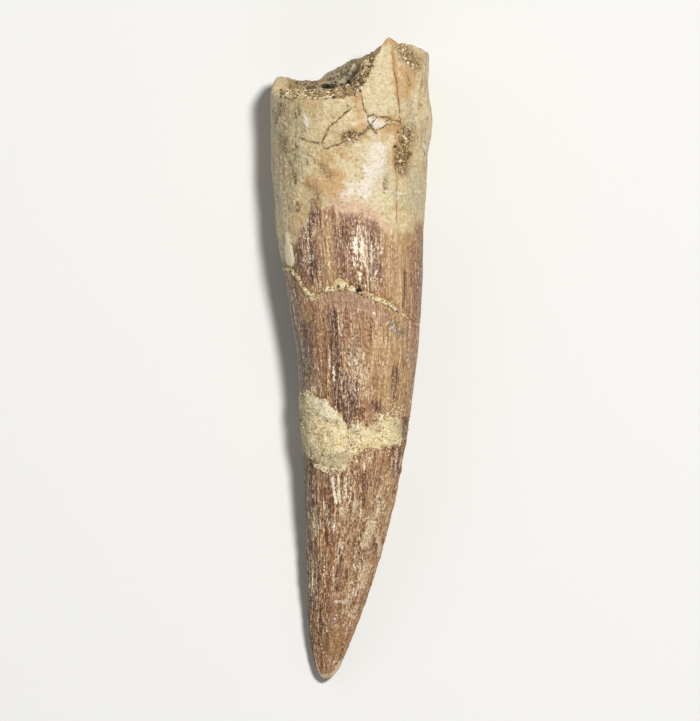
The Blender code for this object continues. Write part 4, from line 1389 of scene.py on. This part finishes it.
# Where grains lie, their middle size in mm, and how pale they are.
GRAIN_SPOTS = [
    (on_crust(300, -6.0, -3.2, 26.6), 0.14, 0.32),
    (on_crust(120, -1.6, 2.0, 26.8), 0.12, 0.28),
    (on_break(380, -6.8, -4.6), 0.14, 0.46),
    (on_break(420, -4.8, -1.6), 0.15, 0.50),
    (on_break(300, -1.6, 0.9), 0.15, 0.46),
    (on_break(460, 0.6, 2.3), 0.15, 0.40),
    (on_break(360, -6.3, -0.6), 0.17, 0.66),
    (on_break(160, -0.6, 2.1), 0.17, 0.62),
    (on_skin(220, 0.75, (5.75, 22.6), (5.6, 21.0), (5.4, 19.3), depth=0.14), 0.13, 0.42),
    (on_skin(110, 0.55, (5.2, 31.0), (6.2, 30.1), (6.6, 29.4), depth=0.12), 0.13, 0.45),
    (on_skin(50, 0.40, (-0.4, 22.1), (0.6, 22.4), depth=0.1), 0.11, 0.45),
    (on_skin(800, 1.5, (-3.4, -5.6), (-1.8, -8.4), (1.0, -8.0), (4.0, -7.3), depth=-0.12),
     0.08, 0.8),
    (on_skin(160, 0.30, (-3.3, -10.4), (-2.2, -11.0), (-0.8, -10.8), depth=-0.1), 0.10, 0.8),
    (on_skin(260, 0.14, (-5.7, 9.0), (-4.9, 7.8), (-3.9, 6.3), (-3.0, 6.6), depth=-0.04),
     0.12, 0.78),
    (on_skin(300, 0.22, (-2.4, 6.9), (-1.0, 7.55), (0.4, 7.0), depth=-0.08), 0.12, 0.82),
    (on_skin(280, 0.15, (1.3, 6.65), (2.6, 6.1), (3.9, 5.65), (4.6, 5.0), depth=-0.05), 0.11, 0.80),
    (on_skin(160, 0.9, (0.2, 0.4), (0.8, -1.0), (1.4, -3.2), depth=0.02), 0.06, 0.9),
    (on_skin(120, 0.8, (4.2, -4.0), (5.0, -5.4), depth=0.02), 0.07, 0.8),
    (on_skin(160, 0.8, (2.6, -12.4), (2.4, -17.0), (0.8, -23.0), depth=0.03), 0.06, 0.9),
    (on_skin(80, 0.4, (-4.2, 13.4), (-4.2, 9.4), depth=0.03), 0.06, 0.9),
]
centres = np.vstack([spot[0] for spot in GRAIN_SPOTS])
print("Loose grains:", len(centres))

# %% [markdown]
# Each grain is a small twenty-sided pebble, squashed and turned at random. They are joined in one
# mesh, because nobody would ever pick one out. Real grains scatter light from small flat faces, so
# they stay flat.

# %% Loose grains
GOLDEN_RATIO = (1.0 + 5.0 ** 0.5) / 2.0
PEBBLE = np.array([
    (-1, GOLDEN_RATIO, 0), (1, GOLDEN_RATIO, 0), (-1, -GOLDEN_RATIO, 0), (1, -GOLDEN_RATIO, 0),
    (0, -1, GOLDEN_RATIO), (0, 1, GOLDEN_RATIO), (0, -1, -GOLDEN_RATIO), (0, 1, -GOLDEN_RATIO),
    (GOLDEN_RATIO, 0, -1), (GOLDEN_RATIO, 0, 1), (-GOLDEN_RATIO, 0, -1), (-GOLDEN_RATIO, 0, 1),
]) / 1.9
PEBBLE_FACES = np.array([
    (0, 11, 5), (0, 5, 1), (0, 1, 7), (0, 7, 10), (0, 10, 11), (1, 5, 9), (5, 11, 4),
    (11, 10, 2), (10, 7, 6), (7, 1, 8), (3, 9, 4), (3, 4, 2), (3, 2, 6), (3, 6, 8),
    (3, 8, 9), (4, 9, 5), (2, 4, 11), (6, 2, 10), (8, 6, 7), (9, 8, 1),
])
SIZE_SPREAD = 0.35
TONE_SPREAD = 0.30
SMALLEST_MM = 0.03
LARGEST_MM = 0.26

sizes = np.concatenate([
    size * random.lognormal(-0.15, SIZE_SPREAD, len(at)) for at, size, _ in GRAIN_SPOTS])
tones = np.concatenate([
    np.clip(random.normal(tone, TONE_SPREAD, len(at)), 0.0, 1.0)
    for at, _, tone in GRAIN_SPOTS])
count = len(centres)
spin, _ = np.linalg.qr(random.normal(size=(count, 3, 3)))
pebbles = PEBBLE * random.uniform(0.75, 1.2, (count, len(PEBBLE), 1))
pebbles = pebbles * random.uniform(0.65, 1.15, (count, 1, 3))
sizes = np.clip(sizes, SMALLEST_MM, LARGEST_MM)
pebbles = np.einsum("nij,nkj->nki", spin, pebbles) * sizes[:, None, None]
grain_points = (centres[:, None] + pebbles).reshape(-1, 3)
grain_points[:, 2] = np.maximum(grain_points[:, 2], 0.0)
grain_points[:, 1] = np.minimum(grain_points[:, 1], top_y)
corners = len(PEBBLE)
grain_faces = (PEBBLE_FACES[None] + corners * np.arange(count)[:, None, None]).reshape(-1, 3)
flipped = np.repeat(np.linalg.det(spin) < 0.0, len(PEBBLE_FACES))
grain_faces[flipped] = grain_faces[flipped][:, ::-1]
grains = finished_mesh("loose_grains", grain_points, grain_faces.tolist(), {
    "dome": np.ones(corners * count),
    "number": np.repeat(tones, corners),
    "body": np.full(corners * count, 2.0),
})
grains.data.shade_flat()

# %% [markdown]
# Sandstone is matt and slightly yellow. Each grain has its own tone, from clear quartz to rusty.
# The dome height that shaped the grains also drives the colour: each grain is painted lighter on
# its top and darker towards its rim, a painted highlight and painted shade between grains, partly
# the darker cement. Loose grains take their whole tone from their number.

# %% Material: lime-cemented quartz sand
SAND_CONTRAST = 2.0
SAND_ROUGHNESS = 0.65
QUARTZ_IOR = 1.5

sandstone, tree, shader = start_material("lime_cemented_sand")
dome, number, body, ashy, golden, bleached = (
    add("Attribute", {"attribute_name": key}, {}, "Fac")
    for key in ("dome", "number", "body", "ashy", "golden", "bleached"))
place = places_in_mm()
patch, gritty, dusty, swirl = (
    add("TexNoise", {}, {"Vector": place, "Scale": 1 / size, "Detail": detail, "Roughness": rough,
                         "Distortion": distortion})
    for size, detail, rough, distortion in (
        (1.2, 4.0, 0.6, 0.0),
        (0.20, 4.0, 0.7, 0.0),
        (0.09, 3.0, 0.7, 0.0),
        (0.75, 3.0, 0.55, 1.6),
    ))
sand_colour = layered("#b59d6e", [
    # Painted highlight on the tops of the grains. The darker base between them is partly painted
    # shade, partly cement.
    ("#c8b07e", (dome, 0.1, 0.7)),
    ("#d6be88", (patch, 0.44, 0.56)),
    ("#968560", (patch, 0.46, 0.36)),
    ("#e0c081", broken(golden, patch, 1.2, 0.1, 0.9)),
    ("#d2ccb4", broken(bleached, patch, 1.4, 0.1, 0.9), 0.9),
    ("#ecdcb0", (swirl, 0.54, 0.63), 0.9),
    ("#8c7a55", (swirl, 0.44, 0.38), 0.8),
    ("#9a7946", (body, 0.35, 0.0), (gritty, 0.40, 0.54)),
    ("#e0d0a4", (number, 0.6, 0.7), (dome, 0.3, 0.7)),
    ("#ad8b56", (number, 0.16, 0.06), (dome, 0.2, 0.6)),
    ("#f2e6c2", lines(place, 0.55, 0.05, 3.0, 1.2), 0.7),
    ("#8d774c", (gritty, 0.57, 0.68), 0.9),
    ("#f4e8c8", (gritty, 0.43, 0.35)),
    ("#85724f", broken(ashy, swirl, 1.6, 0.1, 1.0), 0.42),
    ("#e2bd74", golden, (body, 0.35, 0.1), 0.5),
])
loose_colour = layered("#4d3e2a", [
    ("#86693f", (number, 0.1, 0.4)),
    ("#b89d6a", (number, 0.4, 0.65)),
    ("#efe0ba", (number, 0.65, 0.9)),
])
sand_colour = layered(sand_colour, [(loose_colour, (body, 1.2, 1.6))])
finish(sand_colour, dusty, SAND_CONTRAST, SAND_ROUGHNESS, QUARTZ_IOR,
       (gritty, 0.12), (dusty, 0.05))
for piece in (collar, bead, grains):
    piece.data.materials.append(sandstone)
print("Nodes in", sandstone.name + ":", len(tree.nodes))

# %% [markdown]
# The sediment is clay and silt turned to stone, dark olive grey, with pale calcite crystals whose
# palest facets are painted glints. Calcite's index of refraction is about 1.6. A crystal's own
# random number picks its tone. Crevices between knobs and the deep hole are painted darker as shade.

# %% Material: calcite crystals in grey sediment
SILT_CONTRAST = 1.6
CRUST_ROUGHNESS = 0.45
CALCITE_IOR = 1.58

calcite, tree, shader = start_material("calcite_in_grey_sediment")
number, small, recess, smooth, ridge, knobs = (
    add("Attribute", {"attribute_name": key}, {}, "Fac")
    for key in ("number", "small", "recess", "smooth", "ridge", "knobs"))
place = places_in_mm()
cloudy, silty = (
    add("TexNoise", {}, {"Vector": place, "Scale": 1 / size, "Detail": 4.0, "Roughness": rough})
    for size, rough in ((0.9, 0.6), (0.16, 0.7)))
facet = add("TexVoronoi", {}, {"Vector": place, "Scale": 1 / 0.24}, "Color")
crust_colour = layered("#85724a", [
    ("#a38f62", (cloudy, 0.42, 0.60)),
    ("#b39e6e", (small, 0.50, 0.9)),
    ("#b5a27c", (number, 0.65, 0.9)),
    ("#3b3021", (facet, 0.30, 0.18), 0.8),
    ("#3b3224", (silty, 0.46, 0.38)),
    # Pale facets and pale silt. The palest facets are painted glints.
    ("#cbbb96", (facet, 0.76, 0.90), 0.7),
    ("#c8b894", (silty, 0.57, 0.65)),
    ("#d9ccae", (small, 0.93, 0.97)),
    ("#a39375", smooth, 0.8),
    # Painted shade in the crevices between the knobs.
    ("#3b3021", (knobs, 0.55, 0.25)),
    # Painted shade in the deep hole.
    ("#2b241a", recess),
    ("#f2e4c2", (ridge, 0.15, 0.6)),
])
finish(crust_colour, silty, SILT_CONTRAST, CRUST_ROUGHNESS, CALCITE_IOR, (silty, 0.20))
crust.data.materials.append(calcite)
print("Nodes in", calcite.name + ":", len(tree.nodes))

# %% [markdown]
# A specimen like this is photographed from straight above. A long lens keeps the outline free of
# perspective: a metre away, the frame is seven centimetres wide. The floor is a plain pale card.

# %% Camera and floor
IMAGE_WIDTH_PX = 700
PX_PER_MM = 10.0
LENS_MM = 500.0
SENSOR_MM = 36.0
AIM_MM = np.array([0.05, -0.05, 6.0])

view_width = IMAGE_WIDTH_PX / PX_PER_MM
distance = view_width * LENS_MM / SENSOR_MM
camera_data = bpy.data.cameras.new("camera")
camera_data.lens = LENS_MM
camera_data.sensor_fit = "HORIZONTAL"
camera_data.sensor_width = SENSOR_MM
camera_data.clip_start = 0.01
camera = bpy.data.objects.new("camera", camera_data)
camera.location = (AIM_MM + SHIFT + (0.0, 0.0, distance)) * MM
bpy.context.scene.collection.objects.link(camera)
bpy.context.scene.camera = camera

FLOOR_HALF_M = 1.5
floor_mesh = bpy.data.meshes.new("floor")
floor_corners = [
    (x * FLOOR_HALF_M, y * FLOOR_HALF_M, 0.0) for x, y in ((-1, -1), (1, -1), (1, 1), (-1, 1))]
floor_mesh.from_pydata(floor_corners, [], [(0, 1, 2, 3)])
floor = bpy.data.objects.new("floor", floor_mesh)
bpy.context.scene.collection.objects.link(floor)
card, tree, shader = start_material("pale_card")
plug(shader, {"Base Color": linear("#d9d8d4"), "Roughness": 0.9})
floor_mesh.materials.append(card)
print("Camera", round(distance / 1000.0, 2), "m above the tooth")

# %% [markdown]
# Soft studio light: a box above and to the right models the round form, and a wide weak one on the
# left keeps that side readable. A dim sky fills the rest. Relief shows best when the main light
# comes in at a slant.


# %% Lights
def soft_box(name, place, size, watts):
    """A square area light that faces the tooth."""
    light = bpy.data.lights.new(name, "AREA")
    light.size = size
    light.energy = watts
    box = bpy.data.objects.new(name, light)
    box.location = place
    box.rotation_euler = (-box.location).to_track_quat("-Z", "Y").to_euler()
    bpy.context.scene.collection.objects.link(box)
    return box


soft_box("key", (0.18, 0.15, 0.68), 0.10, 5.7)
soft_box("fill", (-0.45, 0.30, 0.50), 0.45, 0.5)
soft_box("low", (0.05, -0.65, 0.30), 0.35, 0.6)
world = bpy.data.worlds.new("studio")
world.use_nodes = True
plug(world.node_tree.nodes["Background"], {"Color": linear("#e8e8ea"), "Strength": 0.20})
bpy.context.scene.world = world
bpy.context.scene.view_settings.view_transform = "Standard"
print("Lights: key, fill, low and sky")
